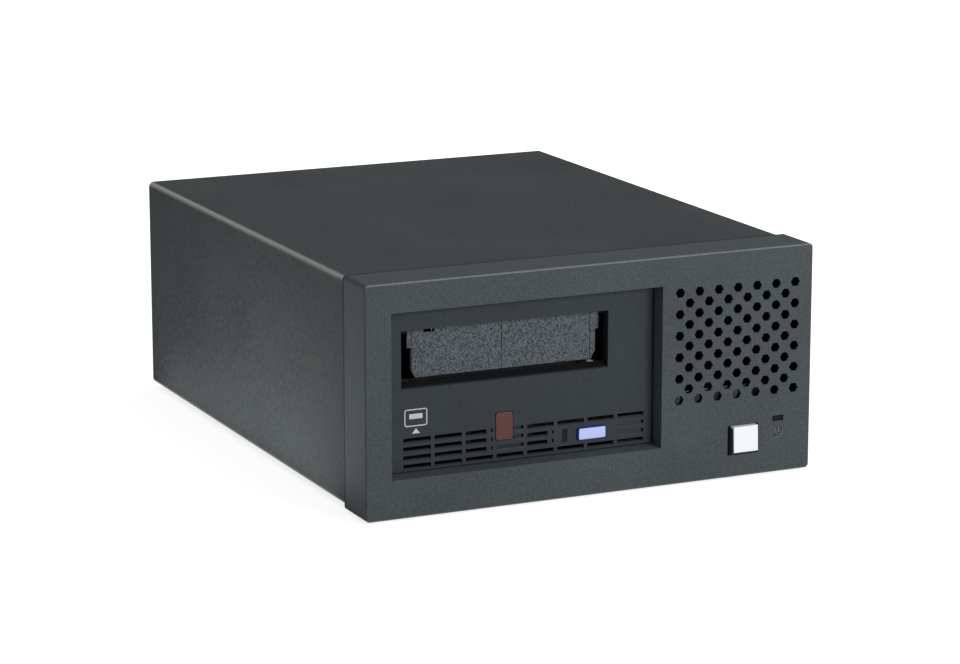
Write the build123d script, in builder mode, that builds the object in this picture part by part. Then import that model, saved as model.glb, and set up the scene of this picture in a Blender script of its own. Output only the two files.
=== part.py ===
from build123d import *
import math
import os

os.makedirs("parts", exist_ok=True)

# Desktop tape drive in millimetres. X is right, Y is back, Z is up, and the origin lies on the desk
# under the middle of the whole envelope, from the power button's face to the cover's rear edge.

# Desktop case
case_width = 254.0
case_height = 121.0
case_depth = 320.0
foot_height = 1.5
bezel_depth = 28.0
bezel_wall = 3.0
bezel_corner_radius = 2.2
bezel_edge_round = 0.9
cover_step = 1.2
cover_seam = 0.6
cover_sheet = 1.2
cover_bend_radius = 3.0
hem_width = 14.0
steel_sheet = 1.2
pan_flange = 11.0
rear_recess = 6.0
sheet_gap = 0.3
foot_radius = 7.0
foot_inset = 32.0

# Opening for the drive in the front bezel, from the bezel's left side and its middle height
opening_left = 14.2
opening_lift = 2.525
opening_width = 151.45
opening_height = 85.35
well_depth = 12.0
well_wall = 1.8
sill_rise = 0.85

# Grille of hexagonal holes
grille_left = 175.8
grille_drop = 19.6
grille_floor = 44.6
grille_margin = 10.4
hex_corners = 5.5
hex_pitch = 11.3
hex_row_pitch = 5.68

# Power button, lamp and switch
button_width = 14.2
button_height = 15.4
button_inset = 40.05
button_centre_z = 19.85
button_proud = 3.6
button_lean = 0.6
button_cap = 1.0
button_chamfer = 1.65
button_side_gap = 2.0
button_edge_gap = 0.4
button_travel = 2.5
lamp_width = 6.6
lamp_height = 3.1
lamp_inset = 19.25
lamp_z = 29.0
lens_gap = 0.2
switch_size = 12.0
switch_length = 14.0
stem_radius = 2.0
running_gap = 0.06

# Tape drive, a full-height 5.25 inch unit
drive_width = 146.05
drive_height = 82.55
drive_setback = 8.5
drive_front = 22.5
drive_length = 197.5
drive_bezel_width = 149.25
drive_bezel_height = 83.6
drive_bezel_lift = 0.3
drive_plate = 2.5
drive_wall = 2.5
drive_sheet = 1.0
deck_height = 27.0
deck_thickness = 3.0

# Cartridge slot, placed from the middle of the drive bezel
slot_x = -9.05
slot_z = 16.17
slot_mouth_width = 115.65
slot_mouth_height = 30.0
throat_width = 114.9
throat_height = 26.85
throat_rise = 1.28
throat_depth = 4.8
cartridge_width = 105.4
cartridge_length = 102.0
cartridge_height = 21.5

# Flap behind the slot
flap_right = 53.0
ear_left = 52.2
ear_right = 54.85
flap_panel_left = 50.0
flap_height = 25.3
flap_thickness = 1.6
flap_chamfer_x = 2.3
flap_chamfer_z = 4.2
flap_ear_height = 9.7
flap_gap = 1.2
flap_offset = 0.22
hinge_pin_radius = 1.0
hinge_barrel_radius = 1.3

# Vents, display, lamp and key in the drive bezel, placed from its middle
vent_left = -65.93
vent_top = -25.03
vent_pitch_x = 17.2
vent_pitch_z = 4.55
vent_width = 15.15
vent_height = 1.9
vent_lip = 1.0
vent_blind_depth = 0.8
vent_short = 11.6
vent_end_hole = 0.95
display_x = -9.96
display_z = -23.48
display_width = 9.6
display_height = 14.5
status_x = 24.37
status_z = -32.13
status_width = 2.2
status_height = 6.2
key_x = 39.12
key_z = -32.08
key_width = 15.3
key_height = 5.9
key_proud = 2.0
key_travel = 1.2
window_gap = 0.3

# Tape path, heights above the drive's underside
load_stroke = 10.0
drop_stroke = 6.0
tray_height = 45.25
tray_sheet = 1.2
reel_radius = 33.0
reel_depth = 181.0
reel_flange = 1.4
tape_width = 12.65
hub_radius = 17.0
hub_depth = 80.0
roller_radius = 4.5
threader_x = 8.07
threader_depth = 145.0
threader_reach = 40.0
roller_reach = 50.0
roller_angles = (-14.0, 24.0, 40.0, 56.0)
head_angle = 5.0
head_reach = 52.0

# Fan and rear panel
fan_size = 60.0
fan_depth = 25.0
fan_rim = 1.5
fan_inset = 42.0
fan_screw_inset = 5.0
fan_hub_radius = 13.5
fan_blades = 7
inlet_z = 26.0
inlet_height = 20.0
socket_z = 40.0
socket_offsets = (-50.925, -8.925)

# Screws
m3_shank = 1.45
m3_hole = 1.7
m3_head = 2.8
m3_head_height = 1.3

# Places worked out from the sizes above
front_y = (button_proud - case_depth) / 2
bezel_bottom = foot_height
bezel_top = bezel_bottom + case_height
bezel_middle = bezel_bottom + case_height / 2
bezel_left = -case_width / 2
cover_side = case_width / 2 - cover_step
cover_bottom = bezel_bottom + cover_step
cover_top = bezel_top - cover_step
cover_front = bezel_depth + cover_seam
pan_bottom = cover_bottom + cover_sheet
pan_top = pan_bottom + steel_sheet
pan_side = cover_side - cover_sheet - sheet_gap
inside_side = pan_side - steel_sheet - sheet_gap
inside_top = cover_top - cover_sheet - sheet_gap
rear_face = case_depth - rear_recess
rear_inner = rear_face - steel_sheet
drive_x = bezel_left + opening_left + opening_width / 2
drive_z = bezel_middle + opening_lift
drive_bottom = drive_z - drive_height / 2
drive_top = drive_bottom + drive_height
drive_rear = drive_front + drive_length
deck_z = drive_bottom + deck_height
tape_z = drive_bottom + tray_height - drop_stroke + cartridge_height / 2
fan_x = case_width / 2 - fan_inset
fan_z = (inlet_z + inlet_height / 2 + inside_top) / 2
fan_bore = fan_size / 2 - fan_rim
fan_screw_spacing = fan_size - 2 * fan_screw_inset
socket_x = [drive_x + offset for offset in socket_offsets]


def y_at(depth):
    """Y of a place this far behind the bezel's front face."""
    return front_y + depth


def across(depth):
    """Sketch plane across the case: sketch x is X, sketch y is Z, and its normal faces the front."""
    return Plane(origin=(0, y_at(depth), 0), x_dir=(1, 0, 0), z_dir=(0, -1, 0))


def along(x):
    """Sketch plane along the case: sketch x is Y, sketch y is Z, and its normal faces right."""
    return Plane(origin=(x, 0, 0), x_dir=(0, 1, 0), z_dir=(1, 0, 0))


def write(piece, name):
    """Label a finished piece and write its file."""
    piece.part.label = name
    export_step(piece.part, f"parts/{name}.step")


# Front bezel: a moulded shell with the well round the drive, the hexagonal grille and the button's guide
button_x = case_width / 2 - button_inset
button_z = bezel_bottom + button_centre_z
lamp_centre = (case_width / 2 - lamp_inset, bezel_bottom + lamp_z)
guide_wall = 1.5
guide_depth = 12.0
skirt_margin = 0.5
tongue_wall = 1.8
tongue_reach = 6.0
tongue_overlap = 4.0
tongue_start = pan_top + pan_flange + 2
bulkhead_front = cover_front + tongue_reach + 0.4
grille_columns = int((case_width - grille_left - grille_margin) / hex_pitch + 1e-6) + 1
grille_rows = int((case_height - grille_drop - grille_floor) / hex_row_pitch + 1e-6) + 1
grille_middle_x = bezel_left + grille_left + (grille_columns - 1) * hex_pitch / 2
grille_middle_z = bezel_top - grille_drop - (grille_rows - 1) * hex_row_pitch / 2
hex_places = [
    (bezel_left + grille_left + (column + (row % 2) / 2) * hex_pitch, bezel_top - grille_drop - row * hex_row_pitch)
    for row in range(grille_rows)
    for column in range(grille_columns - row % 2)
]
hook_width = 8.0
hook_wall = 1.6
hook_barb = 1.0
hook_offset = 52.925
grille_hook_offset = 7.3
hook_drop = 8.0
hook_lift = 9.0
well_right = drive_x + opening_width / 2 + well_wall
guide_left = button_x - button_width / 2 - button_side_gap - skirt_margin - guide_wall
hook_places = [
    (drive_x - hook_offset, bezel_top - hook_drop),
    (grille_middle_x + grille_hook_offset, bezel_top - hook_drop),
    (drive_x - hook_offset, bezel_bottom + hook_lift),
    ((well_right + guide_left) / 2, bezel_bottom + hook_lift),
]
hook_length = bulkhead_front + steel_sheet + 0.3

with BuildPart() as front_bezel:
    with BuildSketch(across(0)):
        with Locations((0, bezel_middle)):
            RectangleRounded(case_width, case_height, bezel_corner_radius)
    extrude(amount=-bezel_depth)
    fillet(front_bezel.faces().sort_by(Axis.Y)[0].outer_wire().edges(), bezel_edge_round)
    with BuildSketch(across(bezel_wall)):
        with Locations((0, bezel_middle)):
            Rectangle(case_width - 2 * bezel_wall, case_height - 2 * bezel_wall)
    extrude(amount=-(bezel_depth - bezel_wall), mode=Mode.SUBTRACT)
    # tongue that slips inside the cover, on the top and both sides
    with BuildSketch(across(bezel_depth - tongue_overlap)):
        with Locations((0, tongue_start)):
            Rectangle(
                2 * (cover_side - cover_sheet - sheet_gap),
                inside_top - tongue_start,
                align=(Align.CENTER, Align.MIN),
            )
            Rectangle(
                2 * (cover_side - cover_sheet - sheet_gap - tongue_wall),
                inside_top - tongue_wall - tongue_start,
                align=(Align.CENTER, Align.MIN),
                mode=Mode.SUBTRACT,
            )
    extrude(amount=-(tongue_overlap + cover_seam + tongue_reach))
    fillet(
        front_bezel.edges().filter_by(Axis.Y).filter_by_position(Axis.Z, inside_top - 0.01, inside_top + 0.01),
        cover_bend_radius - cover_sheet - sheet_gap,
    )
    # well round the drive, then the opening with its rising sill
    with BuildSketch(across(bezel_wall)):
        with Locations((drive_x, drive_z)):
            Rectangle(opening_width + 2 * well_wall, opening_height + 2 * well_wall)
    extrude(amount=-(well_depth - bezel_wall))
    with BuildSketch(across(0)):
        with Locations((drive_x, drive_z)):
            Rectangle(opening_width, opening_height)
    with BuildSketch(across(well_depth)):
        with Locations((drive_x, drive_z + sill_rise / 2)):
            Rectangle(opening_width, opening_height - sill_rise)
    loft(mode=Mode.SUBTRACT)
    # button guide, wider inside so that the button's skirt can't fall out
    with BuildSketch(across(bezel_wall)):
        with Locations((button_x, button_z)):
            Rectangle(
                button_width + 2 * (button_side_gap + skirt_margin + guide_wall),
                button_height + 2 * (button_edge_gap + skirt_margin + guide_wall),
            )
            Rectangle(
                button_width + 2 * (button_side_gap + skirt_margin),
                button_height + 2 * (button_edge_gap + skirt_margin),
                mode=Mode.SUBTRACT,
            )
    extrude(amount=-(guide_depth - bezel_wall))
    with BuildSketch(across(0)):
        with Locations((button_x, button_z)):
            RectangleRounded(
                button_width + 2 * button_side_gap, button_height + 2 * button_edge_gap, 0.8
            )
        with Locations(lamp_centre):
            Rectangle(lamp_width, lamp_height)
        with Locations(*hex_places):
            RegularPolygon(hex_corners / 2, 6)
    extrude(amount=-bezel_wall, mode=Mode.SUBTRACT)
    # hooks that snap into the bulkhead
    with BuildSketch(across(bezel_wall)):
        with Locations(*hook_places):
            Rectangle(hook_width, hook_wall)
    extrude(amount=-(hook_length - bezel_wall))
    for hook_x, hook_z in hook_places:
        barb_side = 1 if hook_z > bezel_middle else -1
        with BuildSketch(along(hook_x - hook_width / 2)):
            with BuildLine():
                Polyline(
                    (y_at(hook_length), hook_z + barb_side * hook_wall / 2),
                    (y_at(hook_length), hook_z + barb_side * (hook_wall / 2 + hook_barb)),
                    (y_at(hook_length + 2), hook_z),
                    (y_at(hook_length), hook_z - barb_side * hook_wall / 2),
                    close=True,
                )
            make_face()
        extrude(amount=hook_width)
write(front_bezel, "front_bezel")

# Top cover: one sheet wrapped round top and sides, with its lower edges hemmed in under the base pan
hem_x = cover_side - hem_width / 2 - 1
screw_front = 50.0
screw_middle = 12.0
screw_rear = 24.0
screw_depths = (screw_front, case_depth / 2 + screw_middle, case_depth - screw_rear)
cover_screw_places = [(side * hem_x, y_at(depth)) for side in (-1, 1) for depth in screw_depths]
foot_screw_inset = 32.8
foot_screw_x = inside_side - foot_screw_inset
bulkhead_foot = 10.0
rear_foot = 12.0
foot_screw_places = [
    (side * foot_screw_x, y_at(depth))
    for side in (-1, 1)
    for depth in (cover_front + 6.4 + bulkhead_foot - 4, rear_inner - rear_foot / 2)
]

with BuildPart() as top_cover:
    with BuildSketch(across(cover_front)):
        with Locations((0, (cover_top + cover_bottom) / 2)):
            RectangleRounded(2 * cover_side, cover_top - cover_bottom, cover_bend_radius)
            RectangleRounded(
                2 * (cover_side - cover_sheet),
                cover_top - cover_bottom - 2 * cover_sheet,
                cover_bend_radius - cover_sheet,
                mode=Mode.SUBTRACT,
            )
        with Locations((0, cover_bottom)):
            Rectangle(2 * (cover_side - hem_width), 3 * cover_sheet, mode=Mode.SUBTRACT)
    extrude(amount=-(case_depth - cover_front))
    with BuildSketch(Plane.XY.offset(cover_bottom)):
        with Locations(*cover_screw_places):
            Circle(m3_hole)
    extrude(amount=cover_sheet, mode=Mode.SUBTRACT)
write(top_cover, "top_cover")

# Base pan: steel floor with turned-up side flanges
with BuildPart() as base_pan:
    with BuildSketch(across(cover_front)):
        with Locations((0, pan_bottom)):
            Rectangle(2 * pan_side, steel_sheet + pan_flange, align=(Align.CENTER, Align.MIN))
        with Locations((0, pan_top)):
            Rectangle(
                2 * (pan_side - steel_sheet), pan_flange, align=(Align.CENTER, Align.MIN), mode=Mode.SUBTRACT
            )
    extrude(amount=-(rear_face - cover_front))
    fillet(base_pan.edges().filter_by(Axis.Y).group_by(Axis.Z)[0], cover_bend_radius - cover_sheet)
    with BuildSketch(Plane.XY.offset(pan_bottom)):
        with Locations(*cover_screw_places, *foot_screw_places):
            Circle(m3_shank + 0.05)
    extrude(amount=steel_sheet, mode=Mode.SUBTRACT)
write(base_pan, "base_pan")

# Rubber feet: four discs stuck under the pan between the hems
foot_x = cover_side - foot_inset
foot_depths = (cover_front + foot_inset, rear_face - foot_inset)
foot_places = [(side * foot_x, y_at(depth)) for side in (-1, 1) for depth in foot_depths]

with BuildPart() as rubber_feet:
    with BuildSketch(Plane.XY):
        with Locations(*foot_places):
            Circle(foot_radius)
    extrude(amount=pan_bottom)
    chamfer(rubber_feet.edges().group_by(Axis.Z)[0], 0.6)
write(rubber_feet, "rubber_feet")

# Case screws: up through the hems into the pan, and up through the pan into the bulkhead and the rear panel
with BuildPart() as case_screws:
    for places, seat_z in ((cover_screw_places, cover_bottom), (foot_screw_places, pan_bottom)):
        with BuildSketch(Plane.XY.offset(seat_z)):
            with Locations(*places):
                Circle(m3_head)
        extrude(amount=-m3_head_height)
        with BuildSketch(Plane.XY.offset(seat_z)):
            with Locations(*places):
                Circle(m3_shank)
        extrude(amount=2 * steel_sheet + 1)
write(case_screws, "case_screws")

# Front bulkhead: a steel frame behind the bezel, with windows for the drive, the air and the hooks
bulkhead_bottom = pan_top
drive_clearance = 1.0
duct_margin = 4.0
duct_width = grille_columns * hex_pitch - 2
duct_height = grille_rows * hex_row_pitch + duct_margin

with BuildPart() as front_bulkhead:
    with BuildSketch(across(bulkhead_front)):
        with Locations((0, bulkhead_bottom)):
            Rectangle(2 * inside_side, inside_top - bulkhead_bottom, align=(Align.CENTER, Align.MIN))
        with Locations((drive_x, drive_z)):
            Rectangle(
                drive_width + 2 * drive_clearance, drive_height + 2 * drive_clearance, mode=Mode.SUBTRACT
            )
        with Locations((grille_middle_x, grille_middle_z)):
            RectangleRounded(duct_width, duct_height, 3, mode=Mode.SUBTRACT)
        with Locations(*hook_places):
            Rectangle(hook_width + 1, hook_wall + 2 * hook_barb + 0.8, mode=Mode.SUBTRACT)
    extrude(amount=-steel_sheet)
    # foot on the pan
    with BuildSketch(across(bulkhead_front)):
        with Locations((0, bulkhead_bottom)):
            Rectangle(1.8 * inside_side, steel_sheet, align=(Align.CENTER, Align.MIN))
    extrude(amount=-bulkhead_foot)
    with BuildSketch(Plane.XY.offset(pan_top)):
        with Locations(*foot_screw_places):
            Circle(m3_shank + 0.05)
    extrude(amount=steel_sheet, mode=Mode.SUBTRACT)
write(front_bulkhead, "front_bulkhead")

# Power button: grey key with a skirt behind the bezel and a stem into the switch
button_left = button_x - button_width / 2
button_foot = button_z - button_height / 2
button_head = button_z + button_height / 2
skirt_front = bezel_wall + sheet_gap
skirt_length = 5.2
skirt_rear = skirt_front + skirt_length
switch_front = bulkhead_front - switch_length
stem_end = switch_front + 2

with BuildPart() as power_button:
    with BuildSketch(along(button_left)):
        with BuildLine():
            Polyline(
                (y_at(skirt_front), button_foot),
                (y_at(0), button_foot),
                (y_at(-button_proud + button_cap), button_foot + button_chamfer),
                (y_at(-button_proud + button_lean + button_cap), button_head - button_cap),
                (y_at(skirt_front), button_head - button_cap),
                close=True,
            )
        make_face()
    extrude(amount=button_width)
    with BuildSketch(across(skirt_front)):
        with Locations((button_x, button_z)):
            Rectangle(
                button_width + 2 * (button_side_gap + skirt_margin - 0.2),
                button_height + 2 * (button_edge_gap + skirt_margin - 0.2),
            )
    extrude(amount=-skirt_length)
    with BuildSketch(across(skirt_rear)):
        with Locations((button_x, button_z)):
            Circle(stem_radius)
    extrude(amount=-(stem_end - skirt_rear))
write(power_button, "power_button")

# White face of the power button, hooked over the key's top
with BuildPart() as power_button_face:
    with BuildSketch(along(button_left)):
        with BuildLine():
            Polyline(
                (y_at(-button_proud), button_foot + button_chamfer),
                (y_at(-button_proud + button_lean), button_head),
                (y_at(0.5), button_head),
                (y_at(0.5), button_head - button_cap),
                (y_at(-button_proud + button_lean + button_cap), button_head - button_cap),
                (y_at(-button_proud + button_cap), button_foot + button_chamfer),
                close=True,
            )
        make_face()
    extrude(amount=button_width)
    fillet(power_button_face.edges().filter_by(Axis.X).group_by(Axis.Y)[0], 0.3)
write(power_button_face, "power_button_face")

# Power switch on the bulkhead, with the stem's bore
with BuildPart() as power_switch:
    with BuildSketch(across(switch_front)):
        with Locations((button_x, button_z)):
            Rectangle(switch_size, switch_size)
    extrude(amount=-switch_length)
    with BuildSketch(across(switch_front)):
        with Locations((button_x, button_z)):
            Circle(stem_radius + running_gap)
    extrude(amount=-(button_travel + 3), mode=Mode.SUBTRACT)
    chamfer(power_switch.edges().filter_by(Axis.Y).group_by(Axis.Z)[-1], 0.8)
write(power_switch, "power_switch")

# Coil spring round the stem, between the skirt and the switch
spring_wire = 0.4
spring_radius = stem_radius + 1.2
spring_length = switch_front - skirt_rear - 2 * spring_wire - 0.2
spring_turns = 5

with BuildPart() as power_button_spring:
    with BuildLine():
        coil = Helix(
            spring_length / spring_turns,
            spring_length,
            spring_radius,
            center=(button_x, y_at(skirt_rear + spring_wire + 0.1), button_z),
            direction=(0, 1, 0),
        )
    with BuildSketch(Plane(origin=coil @ 0, z_dir=coil % 0)):
        Circle(spring_wire)
    sweep(is_frenet=True)
write(power_button_spring, "power_button_spring")

# Light pipe from a lamp on the bulkhead to the slot in the bezel
lamp_board = 3.0
pipe_front = 0.9

with BuildPart() as power_light_pipe:
    with BuildSketch(across(pipe_front)):
        with Locations(lamp_centre):
            Rectangle(lamp_width - 2 * lens_gap, lamp_height - 2 * lens_gap)
    extrude(amount=-(bulkhead_front - lamp_board - 0.3 - pipe_front))
    with BuildSketch(across(bezel_wall)):
        with Locations(lamp_centre):
            Rectangle(lamp_width + 3, lamp_height + 2)
    extrude(amount=-1)
write(power_light_pipe, "power_light_pipe")

with BuildPart() as power_light_board:
    with BuildSketch(across(bulkhead_front - lamp_board)):
        with Locations(lamp_centre):
            Rectangle(lamp_width + 3, lamp_height + 5)
    extrude(amount=-lamp_board)
write(power_light_board, "power_light_board")

# Rear panel: steel plate with the mains inlet, fan grille, data sockets and a vent field
inlet_width = 27.4
inlet_ear = 20.0
inlet_rim = 1.7
socket_width = 24.0
socket_height = 10.6
vent_field_offset = -28.925
vent_field_x = drive_x + vent_field_offset
vent_field_z = 86.0

with BuildPart() as rear_panel:
    with BuildSketch(across(rear_inner)):
        with Locations((0, pan_top)):
            Rectangle(2 * inside_side, inside_top - pan_top, align=(Align.CENTER, Align.MIN))
        with Locations((fan_x, inlet_z)):
            Rectangle(inlet_width + 0.4, inlet_height + 0.4, mode=Mode.SUBTRACT)
        with Locations((fan_x - inlet_ear, inlet_z), (fan_x + inlet_ear, inlet_z)):
            Circle(m3_hole, mode=Mode.SUBTRACT)
        with Locations(*[(x, socket_z) for x in socket_x]):
            Rectangle(socket_width + 0.4, socket_height + 0.4, mode=Mode.SUBTRACT)
    extrude(amount=-steel_sheet)
    with BuildSketch(across(rear_inner)):
        with Locations((fan_x, fan_z)):
            with GridLocations(fan_screw_spacing, fan_screw_spacing, 2, 2):
                Circle(2.2)
    extrude(amount=-steel_sheet, mode=Mode.SUBTRACT)
    # finger-safe holes inside the fan's bore, and the vent field above the data sockets
    finger_pitch = 6.6
    finger_places = [
        (fan_x + (column + (row % 2) / 2) * finger_pitch, fan_z + row * finger_pitch * math.sqrt(3) / 2)
        for row in range(-4, 5)
        for column in range(-5, 6)
        if math.hypot((column + (row % 2) / 2) * finger_pitch, row * finger_pitch * math.sqrt(3) / 2)
        < fan_bore - 3.0
    ]
    with BuildSketch(across(rear_inner)):
        with Locations(*finger_places):
            RegularPolygon(2.7, 6)
        with Locations((vent_field_x, vent_field_z)):
            with GridLocations(14, 9, 6, 4):
                SlotOverall(11, 3.5)
    extrude(amount=-steel_sheet, mode=Mode.SUBTRACT)
    with BuildSketch(across(rear_inner - rear_foot)):
        with Locations((0, pan_top)):
            Rectangle(1.8 * inside_side, steel_sheet, align=(Align.CENTER, Align.MIN))
    extrude(amount=-rear_foot)
    with BuildSketch(Plane.XY.offset(pan_top)):
        with Locations(*foot_screw_places):
            Circle(m3_shank + 0.05)
    extrude(amount=steel_sheet, mode=Mode.SUBTRACT)
write(rear_panel, "rear_panel")

# Drive brackets: steel angles standing on the pan, screwed to the drive's sides
bracket_gap = 0.1
bracket_start = 45.0
bracket_end = 205.0
bracket_flange = 12.0
bracket_reach = 30.0
bracket_height = drive_bottom + bracket_reach - pan_top
bracket_slot_length = 40.0
bracket_slot_width = 8.0
bracket_slot_rise = 11.0
bracket_slot_shift = 35.0
drive_screw_depths = (58.4, 137.65)
drive_screw_heights = (10.0, 21.84)
drive_screw_places = [
    (y_at(depth), drive_bottom + height) for depth in drive_screw_depths for height in drive_screw_heights
]


def bracket(side):
    """Angle bracket on one side of the drive: -1 is left, 1 is right."""
    inner_x = drive_x + side * (drive_width / 2 + bracket_gap)
    with BuildPart() as angle:
        with BuildSketch(across(bracket_start)):
            with Locations((inner_x + side * steel_sheet, pan_top)):
                inward = Align.MAX if side > 0 else Align.MIN
                Rectangle(steel_sheet, bracket_height, align=(inward, Align.MIN))
                Rectangle(bracket_flange, steel_sheet, align=(inward, Align.MIN))
        extrude(amount=-(bracket_end - bracket_start))
        with BuildSketch(along(inner_x - 2 * steel_sheet)):
            with Locations(*drive_screw_places):
                Circle(m3_hole)
            with Locations((y_at((bracket_start + bracket_end) / 2 + bracket_slot_shift), pan_top + bracket_slot_rise)):
                SlotOverall(bracket_slot_length, bracket_slot_width)
        extrude(amount=4 * steel_sheet, mode=Mode.SUBTRACT)
    return angle


drive_bracket_left = bracket(-1)
write(drive_bracket_left, "drive_bracket_left")
drive_bracket_right = bracket(1)
write(drive_bracket_right, "drive_bracket_right")

# Mains inlet: flanged socket body with three blades
inlet_flange = 2.6
inlet_body_depth = 24.0
inlet_cavity_width = 24.4
inlet_cavity_height = 16.6
inlet_cavity_depth = 17.0
blade_length = 14.0

with BuildPart() as ac_inlet:
    with BuildSketch(across(rear_face)):
        with Locations((fan_x, inlet_z)):
            RectangleRounded(2 * inlet_ear + 10, inlet_height + 2 * inlet_rim, 4)
    extrude(amount=-inlet_flange)
    with BuildSketch(across(rear_face)):
        with Locations((fan_x, inlet_z)):
            Rectangle(inlet_width, inlet_height)
    extrude(amount=inlet_body_depth)
    with BuildSketch(across(rear_face + inlet_flange)):
        with BuildLine():
            Polyline(
                (fan_x - inlet_cavity_width / 2, inlet_z - inlet_cavity_height / 2),
                (fan_x + inlet_cavity_width / 2, inlet_z - inlet_cavity_height / 2),
                (fan_x + inlet_cavity_width / 2, inlet_z + inlet_cavity_height / 2 - 4.5),
                (fan_x + inlet_cavity_width / 2 - 4.5, inlet_z + inlet_cavity_height / 2),
                (fan_x - inlet_cavity_width / 2 + 4.5, inlet_z + inlet_cavity_height / 2),
                (fan_x - inlet_cavity_width / 2, inlet_z + inlet_cavity_height / 2 - 4.5),
                close=True,
            )
        make_face()
    extrude(amount=inlet_cavity_depth, mode=Mode.SUBTRACT)
    with BuildSketch(across(rear_face + inlet_flange)):
        with Locations((fan_x - inlet_ear, inlet_z), (fan_x + inlet_ear, inlet_z)):
            Circle(m3_hole)
    extrude(amount=inlet_flange, mode=Mode.SUBTRACT)
write(ac_inlet, "ac_inlet")

with BuildPart() as inlet_blades:
    with BuildSketch(across(rear_face + inlet_flange - inlet_cavity_depth)):
        with Locations((fan_x, inlet_z + 2), (fan_x - 7, inlet_z - 2), (fan_x + 7, inlet_z - 2)):
            Rectangle(2, 4)
    extrude(amount=-blade_length)
write(inlet_blades, "inlet_blades")

# Fan: square frame with a round duct, a hub on four struts and a spindle; the rotor turns on the spindle
fan_plane = Plane(origin=(fan_x, y_at(rear_inner), fan_z), x_dir=(1, 0, 0), z_dir=(0, -1, 0))
spindle_radius = 1.5
strut_depth = 3.0

with BuildPart() as fan_frame:
    with BuildSketch(fan_plane):
        RectangleRounded(fan_size, fan_size, 4)
        Circle(fan_bore, mode=Mode.SUBTRACT)
        with GridLocations(fan_screw_spacing, fan_screw_spacing, 2, 2):
            Circle(2.0, mode=Mode.SUBTRACT)
    extrude(amount=fan_depth)
    with BuildSketch(fan_plane):
        Circle(fan_hub_radius)
        with PolarLocations(0, 4, start_angle=45):
            Rectangle(fan_bore + 1, 2.4, align=(Align.MIN, Align.CENTER))
    extrude(amount=strut_depth)
    with BuildSketch(fan_plane.offset(strut_depth)):
        Circle(spindle_radius)
    extrude(amount=fan_depth - strut_depth - 3)
write(fan_frame, "fan_frame")

rotor_start = strut_depth + 0.4
rotor_length = fan_depth - rotor_start - 1.0
blade_root = fan_hub_radius - 1.5
blade_tip = fan_bore - 0.8
blade_sweep = 34.0

with BuildPart() as fan_rotor:
    for blade in range(fan_blades):
        blade_turn = blade * 360 / fan_blades
        for station, lean in ((rotor_start + 1, 0.0), (rotor_start + rotor_length - 2, blade_sweep)):
            with BuildSketch(fan_plane.offset(station)):
                with Locations(Location((0, 0, 0), (0, 0, blade_turn + lean))):
                    with Locations(((blade_root + blade_tip) / 2, 0)):
                        Rectangle(blade_tip - blade_root, 1.3)
        loft()
    with BuildSketch(fan_plane.offset(rotor_start)):
        Circle(fan_hub_radius)
    extrude(amount=rotor_length)
    with BuildSketch(fan_plane.offset(rotor_start)):
        Circle(spindle_radius + running_gap)
    extrude(amount=rotor_length - 1.4, mode=Mode.SUBTRACT)
    fillet(fan_rotor.edges().filter_by(GeomType.CIRCLE).sort_by(Axis.Y)[0], 1.0)
write(fan_rotor, "fan_rotor")

# Rear screws: four for the fan and two for the mains inlet
with BuildPart() as rear_screws:
    with BuildSketch(fan_plane.offset(-steel_sheet - 1.6)):
        with GridLocations(fan_screw_spacing, fan_screw_spacing, 2, 2):
            Circle(3.4)
    extrude(amount=1.6)
    with BuildSketch(fan_plane.offset(-steel_sheet)):
        with GridLocations(fan_screw_spacing, fan_screw_spacing, 2, 2):
            Circle(1.9)
    extrude(amount=steel_sheet + 8)
    with BuildSketch(across(rear_face + inlet_flange + m3_head_height)):
        with Locations((fan_x - inlet_ear, inlet_z), (fan_x + inlet_ear, inlet_z)):
            Circle(m3_head)
    extrude(amount=m3_head_height)
    with BuildSketch(across(rear_face + inlet_flange)):
        with Locations((fan_x - inlet_ear, inlet_z), (fan_x + inlet_ear, inlet_z)):
            Circle(m3_shank)
    extrude(amount=inlet_flange + steel_sheet + 3)
write(rear_screws, "rear_screws")

# Power supply: aluminium channel on the pan, with its board, transformer, heat sinks and capacitors
supply_gap = 9.45
supply_side_gap = 2.35
supply_left = drive_x + drive_width / 2 + bracket_gap + steel_sheet + m3_head_height + supply_gap
supply_right = hem_x - m3_shank - supply_side_gap
supply_x = (supply_left + supply_right) / 2
supply_width = supply_right - supply_left
supply_start = 66.0
supply_end = 216.0
supply_sheet = 1.6
supply_wall = 40.0
supply_board_z = pan_top + supply_sheet + 8
supply_board_thickness = 1.6
supply_middle = (supply_start + supply_end) / 2
block_length = 8.0
block_height = 9.0
front_block = supply_start + 4
rear_block = supply_end - 4
drive_lead_inset = 18.0
drive_lead_x = supply_left + drive_lead_inset
left_sink_x = supply_left + 8
right_sink_x = supply_right - 16
left_sink_length = 52.0
right_sink_length = 88.0
sink_sheet = 2.5
sink_height = 32.0
sink_wing = 8.0
wing_sheet = 2.0
bay_width = right_sink_x - left_sink_x
bay_x = (left_sink_x + right_sink_x) / 2
transformer_width = bay_width - 10
transformer_x = bay_x - 2
core_length = 34.0
core_rise = 6.0
winding_length = 24.0
winding_height = 20.0
reservoir_radius = bay_width * 3 / 14
reservoir_height = 28.0
reservoir_depths = (supply_start + 22.0, supply_start + 42.0)
filter_radius = bay_width * 5 / 42
filter_pitch = bay_width * 13 / 42
filter_height = 20.0
filter_row_pitch = 14.0
filter_inset = 30.0

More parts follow.
